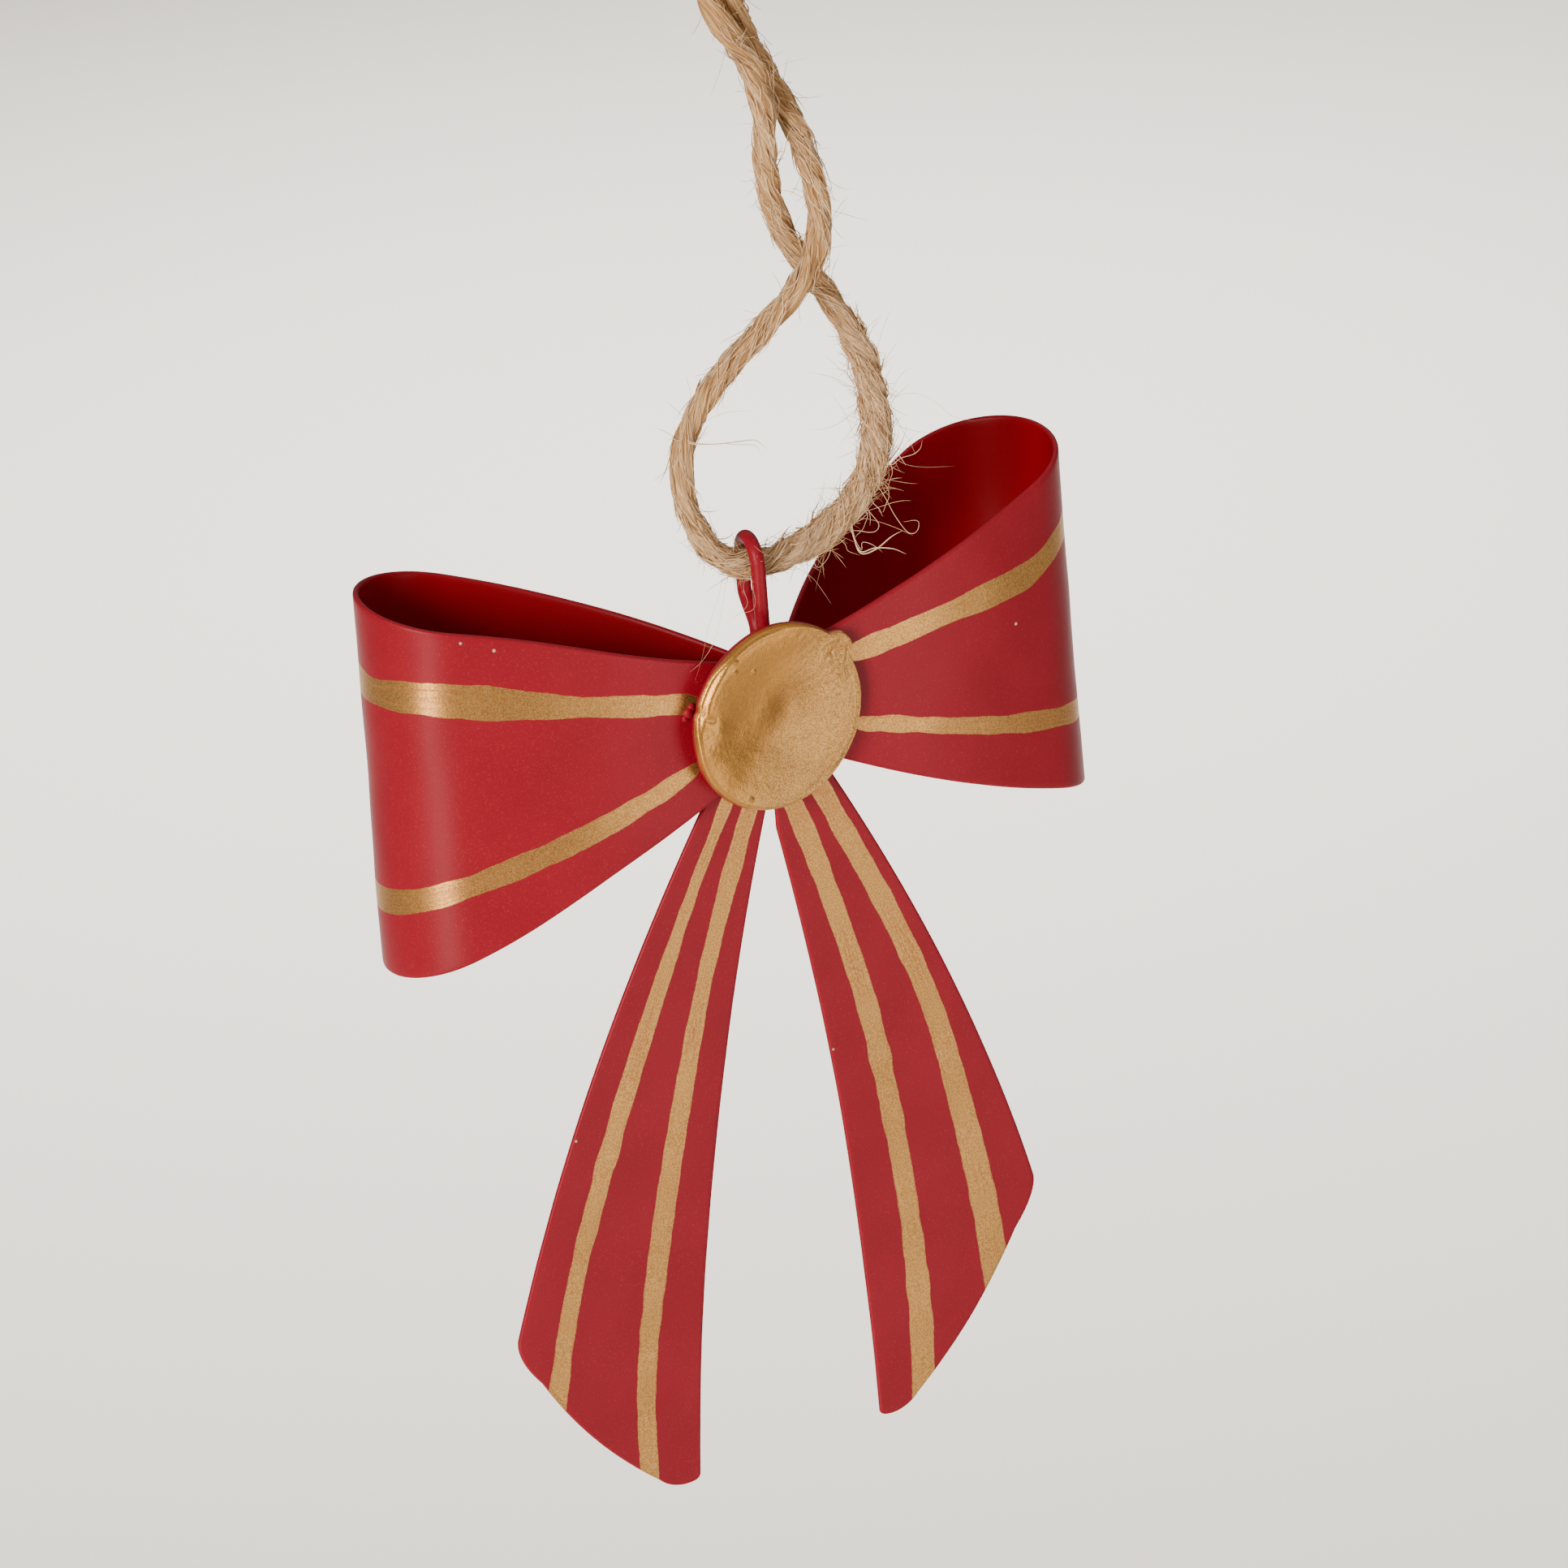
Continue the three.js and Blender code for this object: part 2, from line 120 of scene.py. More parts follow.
# Painted stripes on the loops: place along the strip from its front root, height as a share of
# the strip's width, half width. They mirror round the bend onto the back leaf.
LOOP_STRIPES = {
    -1: (
        [(5.9, 0.735, 0.75), (10.5, 0.76, 0.97), (16, 0.783, 0.92), (24, 0.809, 1.5),
         (29, 0.811, 1.42), (33.5, 0.79, 1.2), (37, 0.785, 1.3)],
        [(6.2, 0.315, 0.75), (11, 0.284, 0.95), (19.5, 0.256, 1.06), (27.5, 0.239, 1.02),
         (34, 0.212, 1.15), (37, 0.205, 1.15)],
    ),
    1: (
        [(5.2, 0.766, 0.85), (9, 0.763, 1.03), (13.7, 0.763, 0.94), (21.4, 0.746, 1.25),
         (24.4, 0.742, 1.18), (27.7, 0.773, 1.14), (33, 0.79, 1.1), (37, 0.79, 1.1)],
        [(5.4, 0.278, 0.7), (8.2, 0.284, 0.76), (14.9, 0.261, 0.77), (20, 0.246, 0.88),
         (25.8, 0.239, 0.94), (31, 0.235, 0.92), (37, 0.23, 0.95)],
    ),
}

# Painted stripes on the tails: height in the bow's frame, place across, half width
TAIL_STRIPES = {
    -1: (
        [(-5, -4.1, 0.6), (-7.6, -5.4, 0.73), (-11.3, -7.6, 0.65), (-22.7, -13.6, 0.95),
         (-34.4, -19.2, 1.06), (-46.5, -24.1, 0.91), (-56, -26.7, 0.99), (-66, -28.4, 1.0)],
        [(-5, -1.5, 0.7), (-12.2, -4.7, 1.0), (-20.1, -7.9, 0.85), (-32.4, -11.9, 1.0),
         (-45.1, -15.4, 1.09), (-58.3, -18.1, 0.94), (-64, -18.5, 0.9), (-72, -18.6, 0.9)],
    ),
    1: (
        [(-5, -0.2, 0.95), (-9.8, 1.6, 1.0), (-19.8, 4.6, 0.96), (-29.7, 7.0, 1.03),
         (-39.6, 8.5, 1.04), (-49.5, 9.5, 1.0), (-59.4, 9.8, 1.2), (-72, 9.2, 1.2)],
        [(-5, 2.6, 0.9), (-11, 5.2, 1.0), (-21.5, 9.8, 1.04), (-31.9, 13.5, 1.05),
         (-42.2, 15.7, 1.2), (-52.4, 17.3, 1.35), (-64, 18.3, 1.4)],
    ),
}


def turn_matrix(degrees):
    """The 2 x 2 matrix that turns a plane's points by an angle."""
    a = np.radians(degrees)
    return np.array([[np.cos(a), -np.sin(a)], [np.sin(a), np.cos(a)]])


def bezier(a, b, c, t):
    """A quadratic curve: (1-t)^2 a + 2t(1-t) b + t^2 c, for an array of t."""
    t = np.asarray(t)[..., None]
    return (1 - t) ** 2 * np.array(a) + 2 * t * (1 - t) * np.array(b) + t**2 * np.array(c)


def through(places, values, at):
    """A smooth curve through given values: cubic pieces whose slopes are the mean slopes of the
    stretches on both sides."""
    places, values = np.array(places, float), np.array(values, float)
    if places[0] > places[-1]:
        places, values = places[::-1], values[::-1]
    slope = np.gradient(values, places)
    at = np.clip(at, places[0], places[-1])
    i = np.clip(np.searchsorted(places, at) - 1, 0, len(places) - 2)
    h = places[i + 1] - places[i]
    t = (at - places[i]) / h
    return (
        (1 + 2 * t) * (1 - t) ** 2 * values[i]
        + t * (1 - t) ** 2 * h * slope[i]
        + t**2 * (3 - 2 * t) * values[i + 1]
        + t**2 * (t - 1) * h * slope[i + 1]
    )


def smooth(low, high, x):
    """0 below low, 1 above high, and 3t^2 - 2t^3 between them."""
    t = np.clip((x - low) / (high - low), 0, 1)
    return t * t * (3 - 2 * t)


def bell(x, middle, width, power=2):
    """A bump of height 1 round a middle: exp(-((x - middle) / width)^power)."""
    return np.exp(-(((x - middle) / width) ** power))


def degrees_from(angle, middle):
    """How far an angle is from a middle one, from -180 to 180 degrees."""
    return (angle - middle + 180) % 360 - 180


def full_turn(count):
    """A full turn as count even angles in radians."""
    return np.linspace(0, 2 * np.pi, count, endpoint=False)


def unit(vectors):
    """Each vector of an array over its length."""
    return vectors / np.linalg.norm(vectors, axis=-1)[..., None]


def distances(line):
    """How far along a line each of its points is."""
    return np.r_[0, np.cumsum(np.linalg.norm(np.diff(line, axis=0), axis=1))]


def resample(line, count):
    """The line's points at count even distances along it."""
    run = distances(line)
    at = np.linspace(0, run[-1], count)
    return np.stack([np.interp(at, run, line[:, k]) for k in range(line.shape[1])], 1)


def waves(points, size, seed, count=14):
    """Smooth unevenness, mostly between -1 and 1: sine waves of about the given size that run in
    seeded random directions, added up and divided by 1.6 times the root of their number."""
    draw = np.random.default_rng(seed)
    heading = unit(draw.normal(size=(count, points.shape[-1])))
    lengths = size * draw.uniform(0.7, 1.8, count)
    phase = draw.uniform(0, 2 * np.pi, count)
    found = np.sin(points @ (2 * np.pi * heading / lengths[:, None]).T + phase)
    return found.sum(-1) / np.sqrt(count) / 1.6


def ring_faces(rings, around, first=0):
    """Quads between neighbouring closed rings of points, each ring with around points."""
    i = np.arange(rings - 1)[:, None] * around
    j = np.arange(around)
    k = (j + 1) % around
    quads = np.stack([i + j, i + k, i + around + k, i + around + j], -1)
    return quads.reshape(-1, 4) + first


def end_caps(rings, around, first=0):
    """Triangles from both end rings to two points, which come right after the rings' points."""
    j = np.arange(around)
    k = (j + 1) % around
    last, low = (rings - 1) * around, np.full(around, rings * around)
    caps = [np.stack([k, j, low], 1), np.stack([last + j, last + k, low + 1], 1)]
    return np.vstack(caps) + first


def put_mesh(name, points, quads, triangles=(), finish=None, facts=None):
    """A smooth mesh object in metres from millimetre points. facts are per-point numbers.
    Faces are turned outward by the sign of the volume that they hold."""
    points = np.asarray(points, float).reshape(-1, 3)
    quads = np.asarray(quads, int).reshape(-1, 4)
    triangles = np.asarray(triangles, int).reshape(-1, 3)
    corners = np.vstack([quads[:, :3], quads[:, [0, 2, 3]], triangles])
    a, b, c = (points[corners[:, k]] for k in range(3))
    if np.einsum("ij,ij->i", a, np.cross(b, c)).sum() < 0:
        quads, triangles = quads[:, ::-1], triangles[:, ::-1]
    mesh = bpy.data.meshes.new(name)
    mesh.vertices.add(len(points))
    mesh.vertices.foreach_set("co", (points * MM).astype(np.float32).ravel())
    loops = np.concatenate([quads.ravel(), triangles.ravel()]).astype(np.int32)
    starts = np.concatenate(
        [np.arange(len(quads)) * 4, len(quads) * 4 + np.arange(len(triangles)) * 3]
    ).astype(np.int32)
    mesh.loops.add(len(loops))
    mesh.loops.foreach_set("vertex_index", loops)
    mesh.polygons.add(len(starts))
    mesh.polygons.foreach_set("loop_start", starts)
    mesh.polygons.foreach_set("use_smooth", np.ones(len(starts), bool))
    for fact, values in (facts or {}).items():
        layer = mesh.attributes.new(fact, "FLOAT", "POINT")
        layer.data.foreach_set("value", np.asarray(values, np.float32).ravel())
    mesh.update(calc_edges=True)
    mesh.validate()
    made = bpy.data.objects.new(name, mesh)
    bpy.context.scene.collection.objects.link(made)
    if finish:
        mesh.materials.append(finish)
    return made


def ring_body(name, rings, finish, facts=None):
    """A closed body from an array of rings, rows x around x 3, with a point in the middle of each
    end ring to close it."""
    rows, around = rings.shape[:2]
    points = np.vstack([rings.reshape(-1, 3), rings[0].mean(0), rings[-1].mean(0)])
    filled = {
        fact: np.r_[values.ravel(), values[0].mean(), values[-1].mean()]
        for fact, values in (facts or {}).items()
    }
    return put_mesh(
        name, points, ring_faces(rows, around), end_caps(rows, around), finish, filled
    )


def transported(line):
    """Two unit directions across a line at each of its points, carried along without twisting:
    each is the last one less its part along the line's new direction."""
    along = unit(np.gradient(line, axis=0))
    first = np.cross(along[0], [0.0, 1.0, 0.0])
    if np.linalg.norm(first) < 0.1:
        first = np.cross(along[0], [1.0, 0.0, 0.0])
    across = np.zeros_like(line)
    across[0] = first / np.linalg.norm(first)
    for i in range(1, len(line)):
        step = across[i - 1] - along[i] * (across[i - 1] @ along[i])
        across[i] = step / np.linalg.norm(step)
    return across, np.cross(along, across)


def tube_rings(line, radius, around):
    """Rings round a line: middle point plus radius times (cos a, sin a) on the two directions
    across. There is one radius per point, or one per point and angle."""
    one, two = transported(line)
    a = full_turn(around)
    radius = radius.reshape(len(line), -1) * np.ones(around)
    out = one[:, None] * np.cos(a)[..., None] + two[:, None] * np.sin(a)[..., None]
    return line[:, None] + out * radius[..., None]


# Finishes


def new_finish(name):
    """A material with its node tree and its surface shader."""
    made = bpy.data.materials.new(name)
    made.use_nodes = True
    return made, made.node_tree, made.node_tree.nodes["Principled BSDF"]


def fill(tree, node, values):
    """Sets a node's inputs, each to a number, a colour or another node's output."""
    for socket, value in values.items():
        if isinstance(value, bpy.types.NodeSocket):
            tree.links.new(value, node.inputs[socket])
        else:
            node.inputs[socket].default_value = value


def add(tree, kind, values=None, **settings):
    """A node with its settings and its inputs."""
    made = tree.nodes.new(kind)
    for key, value in settings.items():
        setattr(made, key, value)
    fill(tree, made, values or {})
    return made


def maths(tree, operation, a, b=0.0, c=0.0):
    """One arithmetic step."""
    return add(tree, "ShaderNodeMath", {0: a, 1: b, 2: c}, operation=operation).outputs[0]


def times(tree, a, b):
    """a times b."""
    return maths(tree, "MULTIPLY", a, b)


def blend_colour(tree, share, first, second):
    """first where share is 0 and second where it is 1."""
    return add(
        tree, "ShaderNodeMix", {0: share, 6: first, 7: second}, data_type="RGBA", clamp_factor=True
    ).outputs[2]


def ramp(tree, value, low, high):
    """0 below low and 1 above high, straight between."""
    return add(
        tree, "ShaderNodeMapRange", {0: value, 1: low, 2: high, 3: 0.0, 4: 1.0}, clamp=True
    ).outputs[0]


def noise(tree, vector, size, detail=2.0, roughness=0.5):
    """Cloudy noise whose spots are about size millimetres across."""
    return add(
        tree, "ShaderNodeTexNoise",
        {"Vector": vector, "Scale": 1 / (size * MM), "Detail": detail, "Roughness": roughness},
    ).outputs["Fac"]


def streaks_over(tree, vector):
    """Noise with spots of size 1 over coordinates that are stretched already."""
    return noise(tree, vector, 1 / MM, 3.0, 0.6)


def bumped(tree, height, depth, strength):
    """Normals tilted by a height, which is as deep as depth in millimetres where it is 1."""
    return add(
        tree, "ShaderNodeBump", {"Height": height, "Distance": depth * MM, "Strength": strength}
    ).outputs[0]


def object_place(tree):
    """The place on the object, in metres."""
    return add(tree, "ShaderNodeTexCoord").outputs["Object"]


def fact_of(tree, name):
    """One of the mesh's per-point numbers, by its name."""
    return add(tree, "ShaderNodeAttribute", attribute_name=name).outputs["Fac"]


def plain_finish(name, colour, roughness):
    """One even colour."""
    made, tree, shader = new_finish(name)
    fill(tree, shader, {"Base Color": colour, "Roughness": roughness})
    return made


RED = (0.30, 0.006, 0.018, 1)
RED_DEEP = (0.265, 0.005, 0.015, 1)
RED_PALE = (0.52, 0.06, 0.06, 1)
# darker red, painted shade on the loops' inner faces within the bent strips
RED_SHADED_INSIDE = (0.25, 0.0, 0.006, 1)
GOLD = (0.64, 0.32, 0.088, 1)
GOLD_DARK = (0.42, 0.185, 0.044, 1)
GOLD_LIGHT = (0.90, 0.52, 0.18, 1)
# warmer gold, painted light on the disc's lit left side
GOLD_LIT_WARM = (0.63, 0.28, 0.055, 1)
# darker gold, painted shade in the middle of the dish
GOLD_SHADE = (0.22, 0.085, 0.016, 1)
JUTE_DARK = (0.31, 0.135, 0.042, 1)
JUTE_PALE = (0.80, 0.48, 0.215, 1)
# pale jute of frayed, loose fibres: partly real wear, partly a painted highlight of light on them
JUTE_WORN_AND_LIT = (1.0, 0.80, 0.54, 1)
# dark brown, painted shade in the grooves between the plies
JUTE_GROOVE_SHADE = (0.17, 0.065, 0.02, 1)
SPECK = (0.66, 0.30, 0.24, 1)
FLOOR = (0.88, 0.83, 0.77, 1)


def painted_sheet(name, painted_by=None):
    """Satin red paint with fine speckle. Where the named fact is above zero it is covered with
    granular gold paint, whose edge a fine noise roughens."""
    made, tree, shader = new_finish(name)
    place = object_place(tree)
    cloud = noise(tree, place, 6.0, 3)
    grain = noise(tree, place, 0.16, 2, 0.6)
    fine = noise(tree, place, 0.09, 1)
    colour = blend_colour(tree, ramp(tree, cloud, 0.3, 0.7), RED, RED_DEEP)
    speckle = times(tree, ramp(tree, grain, 0.56, 0.8), 0.4)
    colour = blend_colour(tree, speckle, colour, RED_PALE)
    # the loops' inner faces are painted darker red: painted shade within the bent strips
    colour = blend_colour(tree, times(tree, fact_of(tree, "shaded_inside"), 0.85), colour, RED_SHADED_INSIDE)
    roughness = maths(tree, "MULTIPLY_ADD", grain, 0.12, 0.35)
    metal = 0.0
    if painted_by:
        edge = maths(tree, "MULTIPLY_ADD", noise(tree, place, 0.5, 3), 0.16, -0.08)
        depth = fact_of(tree, painted_by)
        share = ramp(tree, maths(tree, "ADD", depth, edge), -0.02, 0.05)
        # brush streaks run along the stripe, so their noise is stretched along its edges
        up = add(tree, "ShaderNodeSeparateXYZ", {0: place}).outputs["Z"]
        brush = add(
            tree, "ShaderNodeCombineXYZ",
            {0: times(tree, depth, 5.0), 1: times(tree, up, 0.12 / MM)},
        ).outputs[0]
        thin = times(tree, ramp(tree, streaks_over(tree, brush), 0.52, 0.72), 0.38)
        share = times(tree, share, maths(tree, "SUBTRACT", 1.0, thin))
        gold = blend_colour(tree, 0.25, gold_colour(tree, place), GOLD_DARK)
        colour = blend_colour(tree, share, colour, gold)
        metal = times(tree, share, 0.88)
        roughness = maths(tree, "MULTIPLY_ADD", share, -0.05, roughness)
    height = maths(tree, "ADD", times(tree, grain, 0.6), times(tree, fine, 0.4))
    fill(tree, shader, {
        "Base Color": colour, "Roughness": roughness, "Metallic": metal,
        "Normal": bumped(tree, height, 0.02, 0.5), "Specular IOR Level": 0.20,
    })
    return made


def gold_colour(tree, place):
    """Gold paint's colour: fine light and dark grains over slow changes of tone."""
    grain = noise(tree, place, 0.13, 2, 0.65)
    cloud = noise(tree, place, 2.5, 2)
    tone = blend_colour(tree, ramp(tree, grain, 0.40, 0.60), GOLD_DARK, GOLD_LIGHT)
    slow = blend_colour(tree, ramp(tree, cloud, 0.2, 1.1), GOLD, GOLD_DARK)
    return blend_colour(tree, 0.3, tone, slow)


def gold_face(name, face_by):
    """Granular gold paint on the disc's face, and red paint on its back and its lower edge. On its
    lit left side it is smoother, and a warmer gold there is painted light, the key light's warmth;
    in the dish's middle it is darker, a painted dark reflection."""
    made, tree, shader = new_finish(name)
    place = object_place(tree)
    share = ramp(tree, fact_of(tree, face_by), 0.4, 0.6)
    # the lit left side: smoother gold, and a warmer colour that is painted light
    lit_side = times(tree, fact_of(tree, "lit_side"), 0.75)
    # the dish's middle: darker gold that is painted shade
    shaded_middle = times(tree, fact_of(tree, "shaded_middle"), 0.5)
    gold = blend_colour(tree, lit_side, gold_colour(tree, place), GOLD_LIT_WARM)
    gold = blend_colour(tree, shaded_middle, gold, GOLD_SHADE)
    grain = noise(tree, place, 0.13, 2, 0.65)
    pebbles = noise(tree, place, 0.42, 2)
    rough = maths(tree, "MULTIPLY_ADD", grain, 0.20, 0.31)
    height = maths(tree, "ADD", grain, times(tree, pebbles, 0.8))
    fill(tree, shader, {
        "Base Color": blend_colour(tree, share, RED, gold),
        "Metallic": times(tree, share, 0.85),
        "Roughness": maths(tree, "SUBTRACT", rough, times(tree, lit_side, 0.12)),
        "Normal": bumped(tree, height, 0.045, 0.6),
    })
    return made


def jute(name, fine=False):
    """Jute: pale and brown fibre streaks that follow the lay, from the facts along, across and
    strand. It is paler where the strand has come loose, and on some fibres, partly from wear and
    partly as a painted highlight of light on the loose fibres. Whole twine, unlike fine fibres,
    also has painted shade in the grooves between its plies, and a rough surface."""
    made, tree, shader = new_finish(name)
    lay = add(
        tree, "ShaderNodeCombineXYZ",
        {i: fact_of(tree, fact) for i, fact in enumerate(("along", "across", "strand"))},
    ).outputs[0]
    streaks = streaks_over(tree, lay)
    tone = blend_colour(tree, ramp(tree, streaks, 0.38, 0.62), JUTE_DARK, JUTE_PALE)
    # paler where loose and frayed: partly wear, partly a painted highlight
    tone = blend_colour(tree, times(tree, fact_of(tree, "worn_and_lit"), 0.68), tone, JUTE_WORN_AND_LIT)
    if not fine:
        # painted shade: darker by how deep in a groove between the plies a point is
        tone = blend_colour(tree, times(tree, fact_of(tree, "groove"), 0.85), tone, JUTE_GROOVE_SHADE)
        fill(tree, shader, {"Normal": bumped(tree, streaks, 0.12, 0.7)})
    fill(tree, shader, {"Base Color": tone, "Roughness": 0.85, "Specular IOR Level": 0.25})
    return made


# Camera, at the angle of the photograph, whose focal length and width are in pixels

PHOTO_FOCAL = 6372
PHOTO_WIDTH = 1932
CAMERA_SENSOR = 36
CAMERA_LENS = CAMERA_SENSOR * PHOTO_FOCAL / PHOTO_WIDTH
CAMERA_AWAY = 420.0
CAMERA_SIDE = 31.35
CAMERA_ABOVE = 23.85
CAMERA_ROLL = -4.5
CAMERA_AIM = np.array([-0.88, 0.0, -5.71])


def camera_axes():
    """The camera's right, its up, the way that it looks, and its place. It stands off the bow's
    middle by its distance along (-sin s cos e, -cos s cos e, sin e), looks at its aim point, and
    is rolled about that line."""
    s, e = np.radians([CAMERA_SIDE, CAMERA_ABOVE])
    stand = CAMERA_AWAY * np.array([-np.sin(s) * np.cos(e), -np.cos(s) * np.cos(e), np.sin(e)])
    look = CAMERA_AIM - stand
    look /= np.linalg.norm(look)
    right = np.cross(look, [0, 0, 1])
    right /= np.linalg.norm(right)
    up = np.cross(right, look)
    roll = turn_matrix(CAMERA_ROLL)
    right, up = roll[0, 0] * right + roll[1, 0] * up, -roll[1, 0] * right + roll[0, 0] * up
    return right, up, look, stand


def place_camera():
    """The camera at its place, with its lens as long as the photograph's."""
    right, up, look, stand = camera_axes()
    camera = bpy.data.objects.new("camera", bpy.data.cameras.new("camera"))
    bpy.context.scene.collection.objects.link(camera)
    turned = Matrix(np.stack([right, up, -look], 1).tolist()).to_4x4()
    camera.matrix_world = Matrix.Translation(Vector((stand + BOW_PLACE) * MM)) @ turned
    camera.data.lens = CAMERA_LENS
    camera.data.sensor_width = CAMERA_SENSOR
    camera.data.clip_start, camera.data.clip_end = 0.01, 20
    bpy.context.scene.camera = camera


# Twine

TWINE_STEP = 0.2
TWINE_SIDES = 54
TWINE_WOBBLE = 5
PLY_PITCH = 10.5
PLIES = 3
# where the strand has come loose, as shares of the length, and where its extra fibres end
LOOSE = (0.45, 0.53, 0.61, 0.76)
LOOSE_FIBRES_TO = 0.70


def route_line(points, step):
    """A smooth line through the points: cubic pieces spaced by the square root of the gaps
    between points, then resampled at even distances."""
    p = np.array(points, float)
    p = np.vstack([2 * p[0] - p[1], p, 2 * p[-1] - p[-2]])
    gaps = np.sqrt(np.linalg.norm(np.diff(p, axis=0), axis=1))
    found = []
    for i in range(1, len(p) - 2):
        t0, t1, t2, t3 = np.cumsum(np.r_[0, gaps[i - 1 : i + 2]])
        t = np.linspace(t1, t2, 24, endpoint=False)[:, None]
        a1 = (t1 - t) / (t1 - t0) * p[i - 1] + (t - t0) / (t1 - t0) * p[i]
        a2 = (t2 - t) / (t2 - t1) * p[i] + (t - t1) / (t2 - t1) * p[i + 1]
        a3 = (t3 - t) / (t3 - t2) * p[i + 1] + (t - t2) / (t3 - t2) * p[i + 2]
        b1 = (t2 - t) / (t2 - t0) * a1 + (t - t0) / (t2 - t0) * a2
        b2 = (t3 - t) / (t3 - t1) * a2 + (t - t1) / (t3 - t1) * a3
        found.append((t2 - t) / (t2 - t1) * b1 + (t - t1) / (t2 - t1) * b2)
    line = np.vstack([*found, p[-2:-1]])
    length = np.linalg.norm(np.diff(line, axis=0), axis=1).sum()
    return resample(line, int(round(length / step)) + 1), length


def twine_radius(run, length):
    """The twine's half thickness along it: fuller where the strand has come loose after the eye,
    with slow unevenness."""
    uneven = 0.05 * waves(run[:, None], 6.0, 3) + 0.03 * waves(run[:, None], 2.2, 4)
    return TWINE / 2 * (0.93 + 0.20 * looseness(run / length) + uneven)


def looseness(share):
    """0 where the twine is tight and 1 where it has come loose, by the share of its length."""
    return smooth(LOOSE[0], LOOSE[1], share) * (1 - smooth(LOOSE[2], LOOSE[3], share))


def twist_at(run, wobble_seed):
    """How far the plies have turned at a place: a steady turn and a slow unevenness."""
    return -2 * np.pi * run / PLY_PITCH + 0.5 * waves(run[..., None], 13.0, wobble_seed)


def ply_backs(angle):
    """1 on the plies' round backs and 0 in the grooves between them: |cos|^0.7 of the angle."""
    return np.abs(np.cos(PLIES / 2 * angle)) ** 0.7


def ply_radius(angle):
    """The lobed section as a share of the radius: 0.72 in a groove and 1 on a ply's back."""
    return 0.72 + 0.28 * ply_backs(angle)


def ply_section(run, angle, wobble_seed):
    """The lobed section, how deep in a groove each point is, and the lay's angle there, which
    turns by 0.45 of the twist."""
    twist = twist_at(run, wobble_seed)[:, None]
    turned = angle[None] - twist
    fade = 0.65 + 0.45 * waves(run[:, None], 7.0, wobble_seed + 1)[:, None]
    groove = (1 - ply_backs(turned)) ** 1.2 * np.clip(fade, 0.25, 1)
    return ply_radius(turned), groove, angle[None] - 0.45 * twist


def twine_facts(run, lay, groove, worn_and_lit):
    """Per-point facts for the jute. The place across runs on a circle, so that the streaks close
    round the twine."""
    wide = np.ones(lay.shape)
    return {
        "along": run[:, None] * 0.3 * wide,
        "across": np.cos(lay) * 6.0,
        "strand": np.sin(lay) * 6.0,
        "groove": groove,
        "worn_and_lit": np.asarray(worn_and_lit).reshape(-1, 1) * wide,
    }


def make_twine(finish):
    """The twine, its middle line, the distance along it, its half thickness there and its length.
    Fine ridges follow the lay, 17 and 11 of them in a turn."""
    line, length = route_line(TWINE_ROUTE, TWINE_STEP)
    run = np.linspace(0, length, len(line))
    radius = twine_radius(run, length)
    section, groove, lay = ply_section(run, full_turn(TWINE_SIDES), TWINE_WOBBLE)
    ridge = np.sin(17 * lay + 2.2 * waves(run[:, None], 7.0, 8)[:, None])
    ridge += 0.8 * np.sin(11 * lay + 2.6 * waves(run[:, None], 5.0, 9)[:, None])
    section = section * (1 + 0.028 * ridge)
    twine = ring_body(
        "twine", tube_rings(line, radius[:, None] * section, TWINE_SIDES), finish,
        twine_facts(run, lay, groove, looseness(run / length)),
    )
    return twine, line, run, radius, length


def strand_tubes(paths, thickness, around):
    """Closed thin tubes along many lines at once: paths is fibres x steps x 3. The tube's two
    directions across come from one fixed direction per fibre, and it tapers at both ends."""
    fibres, steps = paths.shape[:2]
    along = np.gradient(paths, axis=1)
    along /= np.linalg.norm(along, axis=2)[..., None] + 1e-12
    chord = paths[:, -1] - paths[:, 0]
    fixed = np.cross(chord, [0.31, 0.92, 0.24])
    fixed = fixed / (np.linalg.norm(fixed, axis=1)[:, None] + 1e-12)
    one = fixed[:, None] - along * (along * fixed[:, None]).sum(-1)[..., None]
    one /= np.linalg.norm(one, axis=2)[..., None] + 1e-12
    two = np.cross(along, one)
    t = np.linspace(0, 1, steps)
    taper = np.minimum(1, np.minimum(t / 0.08 + 0.35, (1 - t) / 0.25 + 0.2))
    r = np.asarray(thickness, float).reshape(-1, 1) / 2 * taper
    a = full_turn(around)
    ring = one[:, :, None] * np.cos(a)[:, None] + two[:, :, None] * np.sin(a)[:, None]
    points = paths[:, :, None] + ring * r[:, :, None, None]
    per = steps * around + 2
    block = np.concatenate([points.reshape(fibres, -1, 3), paths[:, [0, -1]]], 1)
    shift = np.arange(fibres)[:, None, None] * per
    quads, caps = ring_faces(steps, around) + shift, end_caps(steps, around) + shift
    return block.reshape(-1, 3), quads.reshape(-1, 4), caps.reshape(-1, 3), per


def put_fibres(name, paths, thickness, around, finish, seed, worn_and_lit=0.5):
    """One piece of many fibres, each with its own tone."""
    points, quads, triangles, per = strand_tubes(paths, thickness, around)
    draw = np.random.default_rng(seed)
    fibres, steps = paths.shape[:2]
    tone = np.repeat(draw.uniform(0, 90, fibres), per)
    t = np.linspace(0, 1, steps)
    along = np.tile(np.r_[np.repeat(t, around), 0.0, 1.0], fibres) * 2
    pale = np.repeat(worn_and_lit * draw.uniform(0, 1.6, fibres), per)
    facts = {"along": along, "across": tone, "strand": tone * 0.7, "worn_and_lit": pale}
    return put_mesh(name, points, quads, triangles, finish, facts)


